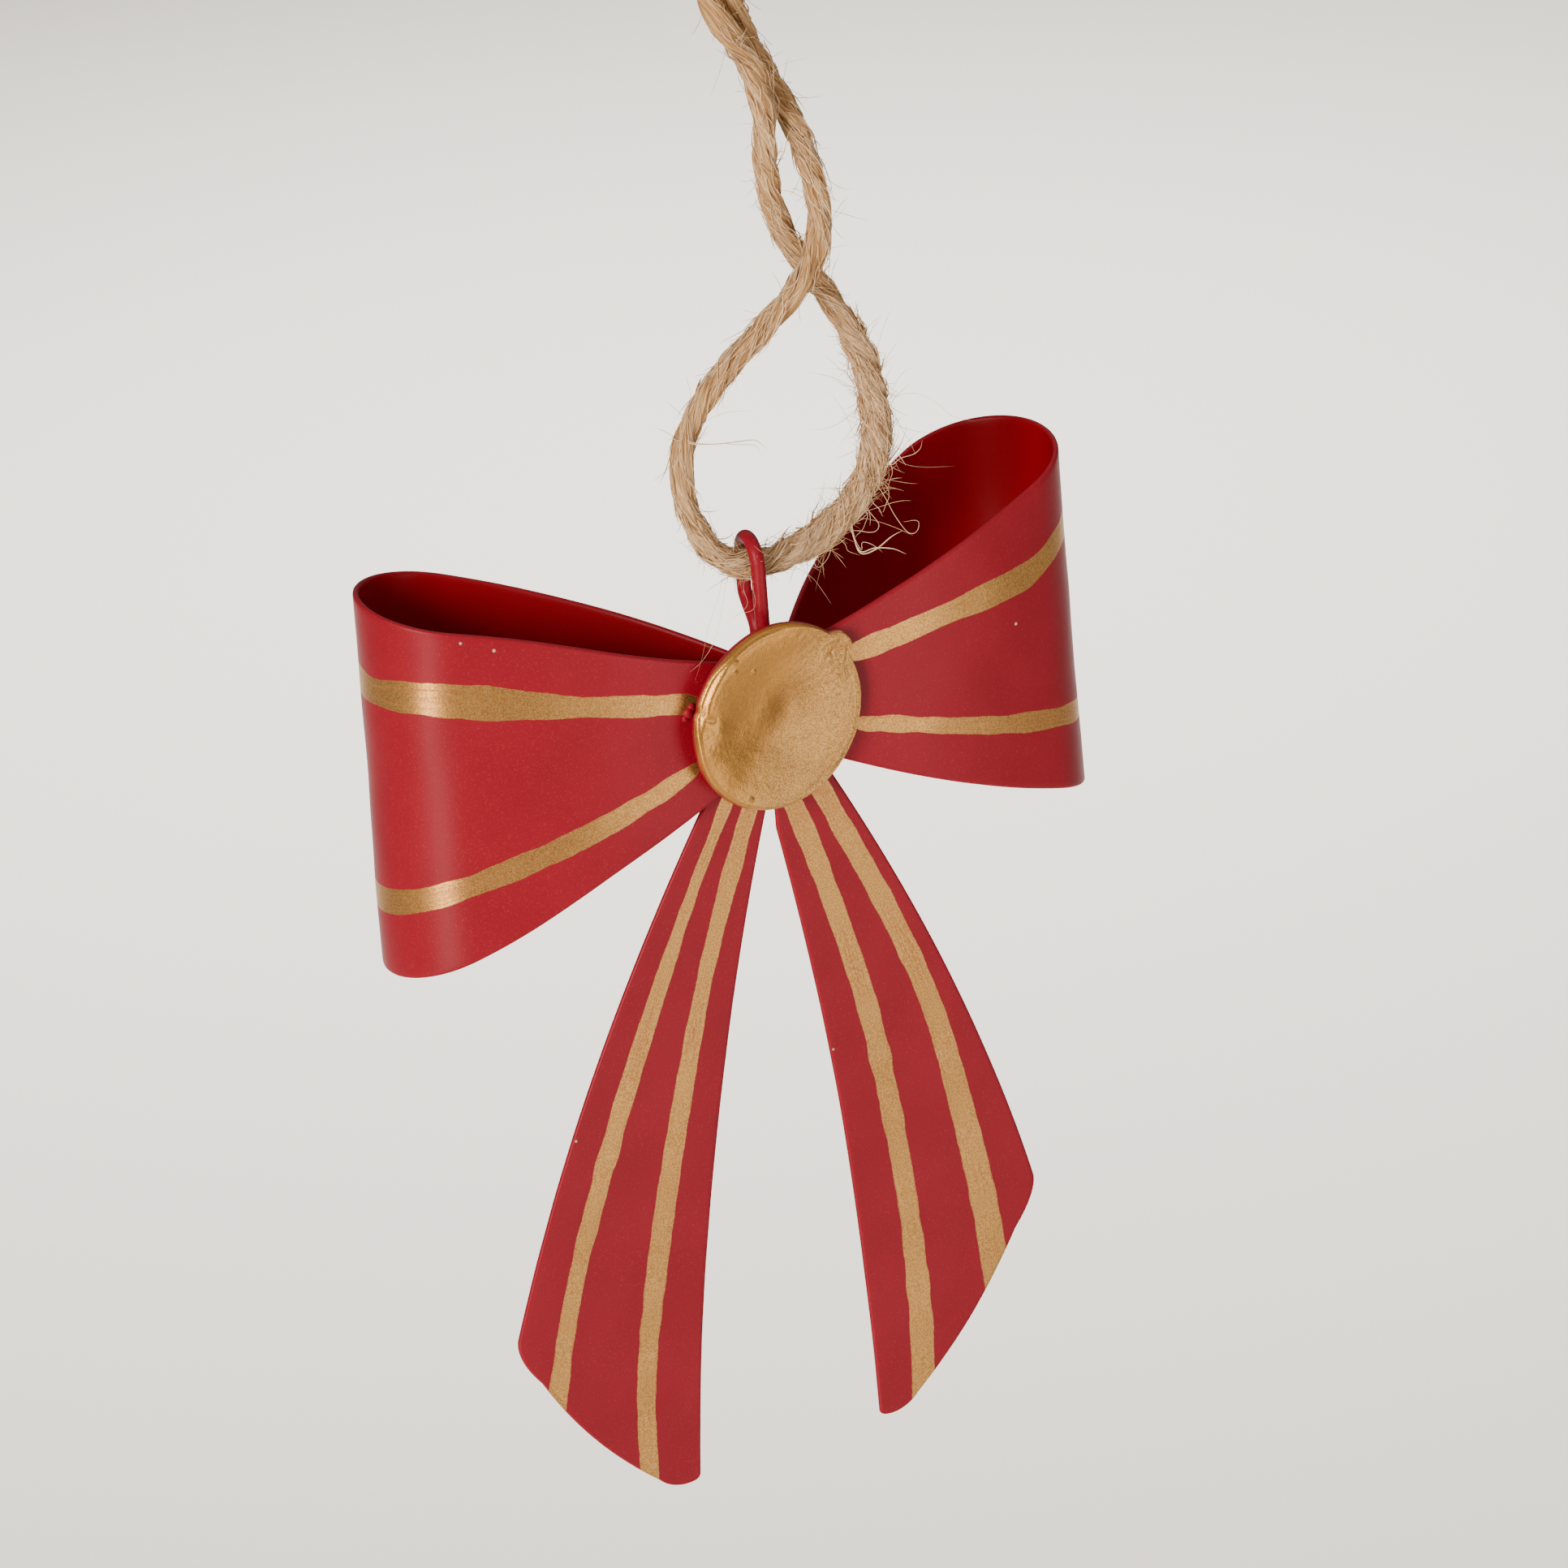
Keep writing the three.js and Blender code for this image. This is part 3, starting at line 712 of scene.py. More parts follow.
def lay_fibres(line, run, radius, length, count, seed):
    """Surface fibres: each follows the plies' twist at its own pitch, a little above the twine's
    surface, and its far tip lifts off."""
    draw = np.random.default_rng(seed)
    one, two = transported(line)
    steps = 22
    t = np.linspace(0, 1, steps)
    span = draw.uniform(3.5, 12, count)
    share = draw.uniform(0, 1, count)
    # more of them where the strand is loose
    loose = draw.uniform(0, 1, count) < 0.45
    share = np.where(loose, draw.uniform(LOOSE[0], LOOSE_FIBRES_TO, count), share)
    start = share * (length - span)
    s = start[:, None] + span[:, None] * t
    turn = draw.uniform(0, 2 * np.pi, count)
    pitch = PLY_PITCH * draw.uniform(0.9, 3.5, count)
    a = turn[:, None] - 2 * np.pi * s / pitch[:, None]
    a = a + 0.3 * np.sin(s * draw.uniform(0.5, 1.6, count)[:, None] + turn[:, None] * 3)
    i = s / length * (len(line) - 1)
    low = np.clip(i.astype(int), 0, len(line) - 2)
    part = (i - low)[..., None]
    middle, e1, e2 = (k[low] * (1 - part) + k[low + 1] * part for k in (line, one, two))
    r = np.interp(s, run, radius)
    rise = ply_radius(a - twist_at(s, TWINE_WOBBLE)) + draw.uniform(-0.04, 0.05, (count, 1))
    lift = draw.exponential(0.25, count)[:, None] * t**4
    lift = lift + draw.exponential(0.14, count)[:, None] * (1 - t) ** 5
    out = r * (rise + lift)
    return middle + e1 * (np.cos(a) * out)[..., None] + e2 * (np.sin(a) * out)[..., None]


def fuzz_fibres(line, radius, count, seed, reach):
    """Fine hairs: each leaves the surface along the lay, curls away in an arc of its own and
    wavers."""
    draw = np.random.default_rng(seed)
    one, two = transported(line)
    steps = 14
    t = np.linspace(0, 1, steps)[None, :, None]
    i = draw.integers(2, len(line) - 3, count)
    loose = draw.uniform(0, 1, count) < 0.5
    low, high = int(LOOSE[0] * len(line)), int(LOOSE_FIBRES_TO * len(line))
    i = np.where(loose, draw.integers(low, high, count), i)
    a = draw.uniform(0, 2 * np.pi, count)[:, None]
    out = one[i] * np.cos(a) + two[i] * np.sin(a)
    along = unit(line[i + 1] - line[i - 1])
    along *= np.where(draw.uniform(0, 1, count) < 0.5, -1, 1)[:, None]
    side = np.cross(out, along)
    root = line[i] + out * radius[i][:, None] * 0.85
    size = reach * draw.uniform(0.3, 1.0, count)[:, None, None] ** 1.6
    lean = draw.uniform(0.25, 1.1, count)[:, None, None]
    curl = draw.normal(0, 0.5, count)[:, None, None]
    sway = draw.normal(0, 0.35, count)[:, None, None]
    return root[:, None] + size * (
        along[:, None] * (t - 0.35 * lean * t**2)
        + out[:, None] * (0.25 * t + lean * 0.55 * t**1.6)
        + side[:, None] * (curl * t**2 + sway * np.sin(5 * t) * 0.25)
    )


# Stray fibres that stand out: where each starts on the twine as a share of its length, its
# thickness, and its further points from there as (right, up, nearer) the way the camera looks
STRAYS = [
    (0.60, 0.10, [(0.9, -1.1, 0.9), (2.9, -4.4, 1.0), (3.5, -4.8, 1.1), (4.0, -4.6, 1.1),
                  (4.1, -3.9, 1.0), (2.9, -3.8, 0.8)]),
    (0.575, 0.20, [(0.3, -2.2, 0.8), (0.9, -3.9, 1.0), (2.2, -3.4, 1.0), (4.3, -1.9, 1.0)]),
    (0.575, 0.15, [(0.2, -2.0, 0.7), (0.9, -3.7, 1.0), (2.2, -3.4, 1.1), (3.6, -3.5, 1.1),
                   (4.6, -3.9, 0.9)]),
    (0.58, 0.12, [(1.1, -0.8, 0.9), (2.0, -2.0, 1.1), (1.8, -2.5, 1.2), (1.1, -2.6, 1.3),
                  (-0.6, -2.4, 1.3)]),
    (0.58, 0.07, [(1.2, -0.8, 0.8), (1.3, -2.1, 0.8)]),
    (0.58, 0.07, [(1.1, -1.3, 0.8), (0.0, -3.3, 0.9)]),
    (0.61, 0.09, [(1.3, -0.1, 0.6), (1.6, -0.8, 0.6), (1.3, -2.0, 0.7), (0.7, -3.2, 0.8)]),
    (0.60, 0.09, [(1.6, -1.1, 0.6), (1.6, -2.2, 0.7), (1.2, -3.0, 0.8), (0.8, -2.9, 0.8)]),
    (0.59, 0.08, [(1.2, -1.5, 0.6), (1.8, -2.3, 0.6)]),
    (0.545, 0.08, [(1.2, -0.6, 0.6), (0.5, -2.3, 0.7), (0.1, -2.5, 0.7), (-0.2, -2.1, 0.7),
                   (0.3, -1.2, 0.7)]),
    (0.57, 0.08, [(0.6, -1.4, 0.9), (1.5, -3.0, 1.0), (1.5, -2.4, 1.0), (2.1, -2.4, 1.0),
                  (3.2, -3.2, 1.0)]),
    (0.555, 0.07, [(1.4, -1.3, 0.6), (1.6, -1.8, 0.6), (2.6, -2.2, 0.6)]),
    (0.64, 0.09, [(1.3, -2.4, 0.6), (2.0, -3.2, 0.6), (2.4, -3.9, 0.6)]),
    (0.62, 0.08, [(1.2, -1.5, 0.6), (2.0, -1.0, 0.6), (3.1, -0.6, 0.6), (3.7, -0.1, 0.6),
                  (3.8, 0.5, 0.6)]),
    (0.65, 0.07, [(1.2, 0.8, 0.3), (1.8, -1.2, 0.4), (2.8, -3.0, 0.4), (3.3, -4.0, 0.4)]),
    (0.65, 0.06, [(1.4, 0.6, 0.4), (3.4, 0.9, 0.4), (5.2, 0.0, 0.4), (6.2, -0.9, 0.4),
                  (8.0, -1.3, 0.4)]),
    (0.56, 0.06, [(-1.0, -0.4, 0.4), (-3.1, -2.0, 0.4), (-4.2, -2.9, 0.4)]),
    (0.365, 0.20, [(0.2, -0.9, 1.0), (3.4, -0.9, 1.2), (5.3, -0.7, 1.3), (6.3, -1.4, 1.3)]),
    (0.365, 0.12, [(0.2, -0.8, 1.0), (3.4, -1.0, 1.2), (5.4, -1.2, 1.2), (5.9, -1.9, 1.2)]),
    (0.365, 0.15, [(-0.4, -0.6, 0.9), (-1.2, -0.6, 0.5), (-1.6, -0.5, 0.2)]),
    (0.50, 0.04, [(-1.4, 0.2, 2.2), (-0.8, 0.9, 2.6), (0.3, 1.2, 2.4)]),
    (0.49, 0.05, [(-0.5, -2.0, 1.0), (-0.2, -3.4, 1.8), (-1.1, -4.4, 2.2), (-1.9, -5.0, 2.2)]),
    (0.49, 0.06, [(0.3, -2.0, 1.6), (0.3, -3.8, 2.8), (-0.8, -4.2, 2.8), (-1.7, -4.6, 2.6)]),
    (0.47, 0.05, [(-0.6, -3.0, 1.4), (-1.5, -6.0, 2.4), (-2.0, -8.5, 3.4), (-2.4, -9.8, 3.8)]),
    (0.47, 0.05, [(-0.2, -3.4, 1.4), (-0.9, -6.6, 2.8), (-1.9, -8.3, 3.6), (-2.9, -9.2, 3.8)]),
]


def stray_fibres(line):
    """The listed fibres as smooth lines with a slight waver, and their thicknesses, which are
    half of what the list says."""
    draw = np.random.default_rng(41)
    right, up, look, _ = camera_axes()
    steps = 44
    t = np.linspace(0, 1, steps)[:, None]
    paths, sizes = [], []
    for share, thickness, further in STRAYS:
        root = line[int(share * (len(line) - 1))]
        knots = [root] + [root + x * right + z * up - y * look for x, z, y in further]
        path, _ = route_line(knots, 0.05)
        path = resample(path, steps)
        waver = np.sin(t * draw.uniform(14, 22) + draw.uniform(0, 6)) * t
        paths.append(path + waver * draw.normal(0, 0.06, (1, 3)))
        sizes.append(0.5 * thickness)
    return np.array(paths), np.array(sizes)


# The knot: its wraps, its two loose ends and the brushes of fibres at their tips. Sizes are half
# thicknesses, and heights start at the knot's foot.
KNOT_SIDES = 36
KNOT_WOBBLE = 21
WRAP_SIZE = 0.95
WRAP_TURNS = 2.6
WRAP_OUT = 1.95
WRAP_FROM = 1.32
WRAP_RISE = 4.1
END_SIZE = 0.92
END_FROM = 0.02
END_RISE = 11.1
BRUSH_OUT = 1.95
BRUSH_FROM = 9.4


def make_knot(finish):
    """The tied end: wraps of twine round the two strands, a helix of round section, and two short
    loose ends. An end's distance from the middle is 1.2, less 0.5 by half a sine in the wraps,
    plus 1.3 by the 2.5th power of the way up. Tips are rounded off by a quarter circle."""
    t = np.linspace(0, 1, 190)
    a = 2 * np.pi * (0.1 + WRAP_TURNS * t)
    out = WRAP_OUT + 0.12 * np.sin(np.pi * t)
    wraps = np.stack([out * np.cos(a), out * np.sin(a), WRAP_FROM + WRAP_RISE * t], 1)
    t = np.linspace(0, 1, 90)
    splay = 1.2 - 0.5 * np.sin(np.pi * np.clip(t / 0.55, 0, 1)) + 1.3 * t**2.5
    left, right = (
        np.stack([side * splay, 0.25 * side * np.sin(3 * t), END_FROM + END_RISE * t], 1)
        for side in (-1, 1)
    )
    made = []
    for name, line, size in (
        ("knot_wraps", wraps, WRAP_SIZE), ("knot_end_left", left, END_SIZE),
        ("knot_end_right", right, END_SIZE),
    ):
        line = resample(line, len(line))
        length = np.linalg.norm(np.diff(line, axis=0), axis=1).sum()
        run = np.linspace(0, length, len(line))
        section, groove, lay = ply_section(run, full_turn(KNOT_SIDES), KNOT_WOBBLE)
        ends = np.sqrt(np.clip(1 - np.clip(1 - run[::-1] / 0.7, 0, 1) ** 2, 0.04, 1))
        if name == "knot_wraps":
            ends = ends * ends[::-1]
        rings = tube_rings(line, (size * ends)[:, None] * section, KNOT_SIDES)
        made.append(ring_body(name, rings, finish, twine_facts(run, lay, groove, 0.0 * run)))
    return made


def knot_brush(seed):
    """Frayed fibres that fan out of the two loose ends."""
    draw = np.random.default_rng(seed)
    count = 90
    side = np.where(np.arange(count) % 2 == 0, -1.0, 1.0)
    t = np.linspace(0, 1, 12)[None, :, None]
    a = draw.uniform(0, 2 * np.pi, count)
    r = 0.75 * np.sqrt(draw.uniform(0, 1, count))
    x, y = r * np.cos(a), r * np.sin(a)
    root = np.stack([side * BRUSH_OUT + x, 0.1 * side + y, np.full(count, BRUSH_FROM)], 1)
    fan = np.stack([side * 0.22 + 0.5 * x, 0.5 * y, np.ones(count)], 1)
    bow = draw.normal(0, 0.35, (count, 3))
    size = draw.uniform(2.1, 3.1, count)[:, None, None]
    return root[:, None] + size * (fan[:, None] * t + bow[:, None] * t**2 * 0.5)


# Sheet metal and wire, with the counts of points along and across or round each piece

LOOP_ROWS, LOOP_ACROSS = 230, 64
TAIL_ROWS, TAIL_ACROSS = 260, 60
EYE_ROWS, EYE_AROUND = 170, 28
DISC_AROUND = 440


def strip_profile(count, half):
    """One closed turn round the sheet's section: place across from 0 to 1, how far in from the
    edge, offset from the middle plane, and 1 on the outer face. The edges are half circles."""
    share, full = np.linspace(0, 1, count), np.ones(count)
    bend = np.radians(np.linspace(-90, 90, 7)[1:-1])
    rise = np.sin(bend)
    across = np.r_[share, np.ones(len(bend)), share[::-1], np.zeros(len(bend))]
    inset = np.r_[full, 1 - np.cos(bend), full, 1 - np.cos(bend)] * half
    offset = np.r_[full, -rise, -full, rise] * half
    face = np.r_[full, 0.5 - 0.5 * rise, np.zeros(count), 0.5 + 0.5 * rise]
    return across, inset, offset, face


def loop_line(side):
    """The loop's middle line seen from above, front root to back root, for the right-hand loop.
    Each leaf is an arc that leaves the root at the flare angle and meets the bend smoothly."""
    flare = np.radians(LOOP_FLARE)
    bend = LOOP_REACH - LOOP_BEND_RADIUS
    arc = (bend**2 + LEAF_OFFSET**2 - LOOP_BEND_RADIUS**2) / (
        2 * (bend * np.sin(flare) + LEAF_OFFSET * np.cos(flare) - LOOP_BEND_RADIUS)
    )
    middle = np.array([arc * np.sin(flare), arc * np.cos(flare) - LEAF_OFFSET])
    meet = np.arctan2(-middle[1], bend - middle[0])
    start = np.arctan2(-LEAF_OFFSET - middle[1], -middle[0])
    a = np.linspace(start, meet, 160)
    leaf = middle + arc * np.stack([np.cos(a), np.sin(a)], 1)
    b = np.linspace(meet, -meet, 160)
    bent = LOOP_BEND_RADIUS * np.stack([np.cos(b), np.sin(b)], 1) + [bend, 0]
    sweep = turn_matrix(LOOP_SWEEP[side])
    front, round_, back = leaf @ sweep.T, bent @ sweep.T, (leaf * [1, -1]) @ sweep.T
    # a fold from the flat tab takes the place of each leaf's first points
    skip = 8
    folds = [
        bezier((-LOOP_FOLD, y), sweep @ (0, y), leafs[skip], np.linspace(0, 1, 14))
        for leafs, y in ((front, -LEAF_OFFSET), (back, LEAF_OFFSET))
    ]
    return np.vstack(
        [[(-LOOP_TAB, -LEAF_OFFSET)], folds[0], front[skip + 1 :], round_[1:-1],
         back[::-1][: -skip - 1], folds[1][::-1], [(-LOOP_TAB, LEAF_OFFSET)]]
    )


def loop_limits(x):
    """The strip's lower and upper edge at a distance out from the root: quadratic curves."""
    t = np.clip(x / LOOP_REACH, 0, 1)
    return [
        bezier([a], [a + (b - a) * (0.5 + 2 * full)], [b], t)[..., 0]
        for a, b, full in zip(LOOP_ROOT, LOOP_END, LOOP_FULLNESS)
    ]


def stripe_depth(stripes, along, height, face, limits=None):
    """How deep within a stripe a point is: the stripe's half width less the distance from its
    middle, on the outer face alone. With the strip's lower and upper edge as limits, the middle
    is a share of the width between them, and the stripe's start is rounded off."""
    best = np.full(height.shape, -9.0)
    for seed, keys in enumerate(stripes):
        places, middles, halves = zip(*keys)
        middle = through(places, middles, along)
        half = through(places, halves, along)
        if limits:
            middle = limits[0] + (limits[1] - limits[0]) * middle
            start = np.clip((along - places[0]) / 1.5, 0, 1)
            half = half * np.sqrt(1 - (1 - start) ** 2) - np.where(along < places[0], 1, 0)
        half = half + 0.07 * waves(along[..., None], 4.0, 50 + seed)
        best = np.maximum(best, half - np.abs(height - middle))
    return np.where(face > 0.6, best, -1.0)


def make_loop(name, side, finish):
    """A bent strip: the middle line from above, raised between the lower and the upper edge.
    A slow unevenness moves it along its normal, as sheet bent by hand has."""
    line = resample(loop_line(side), LOOP_ROWS)
    run = distances(line)[:, None]
    along = unit(np.gradient(line, axis=0))
    out = np.stack([along[:, 1], -along[:, 0]], 1)
    reach = line @ turn_matrix(LOOP_SWEEP[side])[:, 0]
    low, high = (edge[:, None] for edge in loop_limits(reach))
    across, inset, offset, face = strip_profile(LOOP_ACROSS, SHEET / 2)
    # the full faces run between the rounded edges
    z = np.where(
        np.abs(offset) == SHEET / 2,
        (high - low - SHEET) * across + low + SHEET / 2,
        low + (high - low) * across + np.where(across > 0.5, -1, 1) * inset,
    )
    free = smooth(4, 12, run) * smooth(4, 12, run[-1] - run)
    place = np.stack([run * np.ones_like(z), z], -1)
    uneven = 0.10 * waves(place, 17.0, 60 + side) + 0.03 * waves(place, 6.0, 63 + side)
    shift = offset + free * uneven
    z = z + LOOP_LIFT[side] * bell(run - 14, 7 * across, 8.5)
    x = line[:, :1] + out[:, :1] * shift
    y = line[:, 1:] + out[:, 1:] * shift
    raised = turn_matrix(LOOP_RAISE[side])
    points = np.stack(
        [side * (x * raised[0, 0] + z * raised[0, 1] + LOOP_TAB_END), y + LEAF_PLANE,
         x * raised[1, 0] + z * raised[1, 1]], -1,
    ) + BOW_PLACE
    from_root = np.minimum(run, run[-1] - run) * np.ones_like(z)
    paint = stripe_depth(LOOP_STRIPES[side], from_root, z, face, (low, high))
    # 1 on the strip's inner face, where the red is painted darker as painted shade
    shaded_inside = np.repeat(smooth(0.5, 0.1, face)[None, :], len(line), 0)
    return ring_body(name, points, finish, {"paint": paint, "shaded_inside": shaded_inside})


def tail_edges(side):
    """The tail's outer and inner edge, both from the root to the middle of the tip: quadratic
    curves with a rounded corner and tip, turned outward together."""
    def bowed(start, end, bow):
        """The control point of a curve whose middle bows outward by bow."""
        return [(start[0] + end[0]) / 2 + 2 * bow, (start[1] + end[1]) / 2]

    outer_root, inner_root = (TAIL_ROOT_OUTER, -TAIL_START), (-TAIL_ROOT_INNER, -TAIL_START)
    corner = np.array([TAIL_CORNER_OUT, -TAIL_CORNER_DROP])
    tip_out = np.array([TAIL_TIP_OUT + TAIL_TIP_WIDTH, -TAIL_LENGTH])
    tip_in = np.array([TAIL_TIP_OUT, TAIL_TIP_ROUND / 2 - TAIL_LENGTH])
    slant = (tip_out - corner) / np.linalg.norm(tip_out - corner)
    after = corner + slant * TAIL_CORNER_ROUND
    before = tip_out - slant * TAIL_TIP_ROUND
    bulge = (after + before) / 2 + np.array([-slant[1], slant[0]]) * 2 * TAIL_SLANT_BOW
    at_corner = (TAIL_CORNER_OUT - 0.1, -TAIL_CORNER_DROP + TAIL_CORNER_ROUND / 2)
    foot = ((tip_out[0] + tip_in[0]) / 2, -TAIL_LENGTH)
    t = np.linspace(0, 1, 80)
    outer = np.vstack(
        [bezier(outer_root, bowed(outer_root, corner, TAIL_OUTER_BOW), at_corner, t),
         bezier(at_corner, corner, after, t)[1:], bezier(after, bulge, before, t)[1:],
         bezier(before, tip_out, foot, t)[1:]]
    )
    inner = np.vstack(
        [bezier(inner_root, bowed(inner_root, tip_in, TAIL_INNER_BOW), tip_in, t),
         bezier(tip_in, (tip_in[0], -TAIL_LENGTH), foot, t)[1:]]
    )
    turn = turn_matrix(TAIL_TURN[side])
    return resample(outer @ turn.T, TAIL_ROWS), resample(inner @ turn.T, TAIL_ROWS)


def make_tail(name, side, finish):
    """A flat strip between its two edges, with rounded sheet edges. It kicks forward towards the
    tip by the square of the way down."""
    outer, inner = tail_edges(side)
    inner[:, 0] = np.maximum(inner[:, 0], JOINT_GAP / 2)
    across, inset, offset, face = strip_profile(TAIL_ACROSS, SHEET / 2)
    width = np.linalg.norm(outer - inner, axis=1)[:, None]
    toward = (outer - inner) / np.maximum(width, 1e-6)
    # the rounded edges shrink where the strip is narrower than they are
    edge = np.minimum(SHEET / 2, width / 2.05)
    rounded = inset * edge / (SHEET / 2)
    place = np.where(
        np.abs(offset) > SHEET / 2 - 1e-9,
        edge + (width - 2 * edge) * across,
        np.where(across > 0.5, width - rounded, rounded),
    )
    x = inner[:, :1] + toward[:, :1] * place
    z = inner[:, 1:] + toward[:, 1:] * place
    flat_to = -LOOP_ROOT[0] + TAIL_START
    far = TAIL_LENGTH + SHEET
    share = np.clip((-z - flat_to) / (far - flat_to), 0, 1.05)
    seen = np.stack([x, z], -1)
    uneven = 0.16 * waves(seen, 26.0, 70 + side) + 0.04 * waves(seen, 8.0, 73 + side)
    y = LEAF_PLANE - TAIL_KICK * share**2 - offset + share * uneven
    bow = np.stack([side * x + TAIL_CENTRE, y, z], -1)
    paint = stripe_depth(TAIL_STRIPES[side], z, bow[..., 0], face)
    return ring_body(name, bow + BOW_PLACE, finish, {"paint": paint})


def disc_section(radius):
    """The face's height over the disc's plane, towards the viewer, at a distance from its middle:
    a dish with a rounded rim."""
    return -through(
        [0, 1.2, 2.2, 3.75, 5.3, 6.5, 7.2, 7.65, 7.88, 8.0],
        [0.22, 0.18, 0.10, -0.15, -0.45, -0.66, -0.72, -0.68, -0.46, -0.05], radius,
    )


def hill(x, z, at, spread):
    """A round hill of height 1 at a place: exp(-(distance / spread)^2)."""
    return np.exp(-((x - at[0]) ** 2 + (z - at[1]) ** 2) / spread**2)


def valley(x, z, start, end, spread):
    """A valley of depth 1 along a straight stretch, exp(-(distance / spread)^2) to its sides."""
    a, b = np.array(start, float), np.array(end, float)
    d = b - a
    t = np.clip(((x - a[0]) * d[0] + (z - a[1]) * d[1]) / (d @ d), 0, 1)
    return np.exp(-((x - a[0] - t * d[0]) ** 2 + (z - a[1] - t * d[1]) ** 2) / spread**2)


def disc_relief(x, z):
    """What hands and paint added to the dish, towards the viewer: an ear pinched up on the rim,
    creases beside it, a flatter right side, a middle that is deeper and leans, a crescent along
    the rim at the upper left, a crimp on the left edge, drops of paint, and pebbles."""
    r = np.hypot(x, z)
    angle = np.degrees(np.arctan2(z, x))
    found = 0.20 * bell(degrees_from(angle, 38), 0, 9, 4) * smooth(6.6, 7.6, r)
    for height, start, end, spread in (
        (-0.12, (6.1, 5.0), (5.3, 3.9), 0.26), (-0.08, (5.3, 3.9), (5.9, 2.2), 0.30),
        (0.09, (6.2, 3.4), (6.4, 1.6), 0.34), (-0.13, (6.5, 3.9), (7.4, 3.1), 0.24),
        (-0.08, (4.6, 5.6), (5.6, 5.2), 0.30),
    ):
        found += height * valley(x, z, start, end, spread)
    found -= 0.5 * smooth(-2, 6.5, x) * np.clip(disc_section(r), 0, 1) * smooth(8.0, 7.4, r)
    found -= 0.14 * hill(x, z, (-0.4, -0.2), 2.2)
    found -= 0.21 * (x - 0.4) * hill(x, z, (0.4, 0.3), 2.1)
    found -= 0.36 * bell(angle, 150, 21, 4) * bell(r, 7.72, 0.30)
    found -= 0.14 * hill(x, z, (-7.25, 0.8), 0.95)
    found -= 0.12 * valley(x, z, (-7.9, 2.4), (-6.4, 1.7), 0.28)
    found += 0.20 * hill(x, z, (-5.9, 0.4), 0.9)
    for at, spread in (
        ((-3.97, 6.16), 0.15), ((-4.05, 5.26), 0.18), ((-2.16, 4.69), 0.19), ((-3.51, -6.14), 0.17)
    ):
        found += 0.15 * hill(x, z, at, spread)
    place = np.stack([x, z], -1)
    right = smooth(1.5, 6.5, x + 0.3 * z)
    found += (0.006 + 0.013 * right) * waves(place, 0.8, 80, 24)
    found += (0.002 + 0.006 * right) * waves(place, 0.4, 82, 24)
    found += 0.05 * waves(place, 4.0, 81)
    found += 0.035 * hill(x, z, (6.0, 3.8), 1.3) * waves(place, 0.55, 83, 24)
    found += 0.026 * hill(x, z, (-6.3, -0.4), 1.1) * waves(place, 0.6, 84, 24)
    return found


def make_disc(finish):
    """Rings from the middle of the back, round the rim, to the middle of the face. The ear
    stretches the outer rings outward."""
    a = full_turn(DISC_AROUND)
    back = np.r_[np.linspace(0.15, 7.5, 44), 7.75, 7.9, 7.98]
    front = np.r_[np.linspace(DISC_RADIUS, 7.2, 16), np.linspace(7.13, 0.08, 116)]
    rows = np.r_[back, front][:, None]
    x, z = rows * np.cos(a), rows * np.sin(a)
    relief = disc_relief(x, z)
    is_back = (np.arange(len(rows)) < len(back))[:, None]
    height = disc_section(rows) + relief
    # the back follows the face one sheet behind with 0.6 of its relief, and a rounded rim joins
    # them
    behind = disc_section(rows) + 0.6 * relief - DISC_SHEET
    rim = smooth(DISC_RADIUS - 1.6, DISC_RADIUS - 0.5, rows)
    edge = -0.16 - 0.16 * np.sqrt(np.clip(1 - ((rows - 7.7) / 0.3).clip(0, 1) ** 2, 0, 1))
    behind = behind * (1 - rim) + (edge + 0.6 * relief) * rim
    up = np.where(is_back, behind, height)
    degrees = np.degrees(a)
    stretch = 0.8 * bell(degrees_from(degrees, 37), 0, 8, 4) * smooth(5.5, DISC_RADIUS, rows)
    notch = 0.16 * bell(degrees, 161, 3.2) * smooth(7.0, 8.0, rows)
    grow = 1 + (stretch - notch) / rows
    points = np.stack(
        [x * grow + DISC_CENTRE[0], -up, z * grow + DISC_CENTRE[1]], -1
    ) + BOW_PLACE
    faced = np.where(is_back, 0.0, smooth(7.99, 7.93, rows)) * np.ones_like(x)
    # the left is smoother, and its warmer gold is painted light on the lit side; the right is pale
    # and grainy; the middle's darker gold is painted shade, a dark reflection in the dish
    lit_side = smooth(3.2, -3.0, x - 0.55 * z)
    shaded_middle = np.exp(-(((x + 0.4) / 2.7) ** 2) - ((z - 0.4 - 0.1 * x) / 2.1) ** 2)
    shaded_middle += 0.22 * np.exp(-(((x + 3.9) / 2.0) ** 2) - ((z + 1.9) / 0.9) ** 2)
    return ring_body(
        "gold_disc", points, finish, {"face": faced, "lit_side": lit_side, "shaded_middle": np.clip(shaded_middle, 0, 1)}
    )


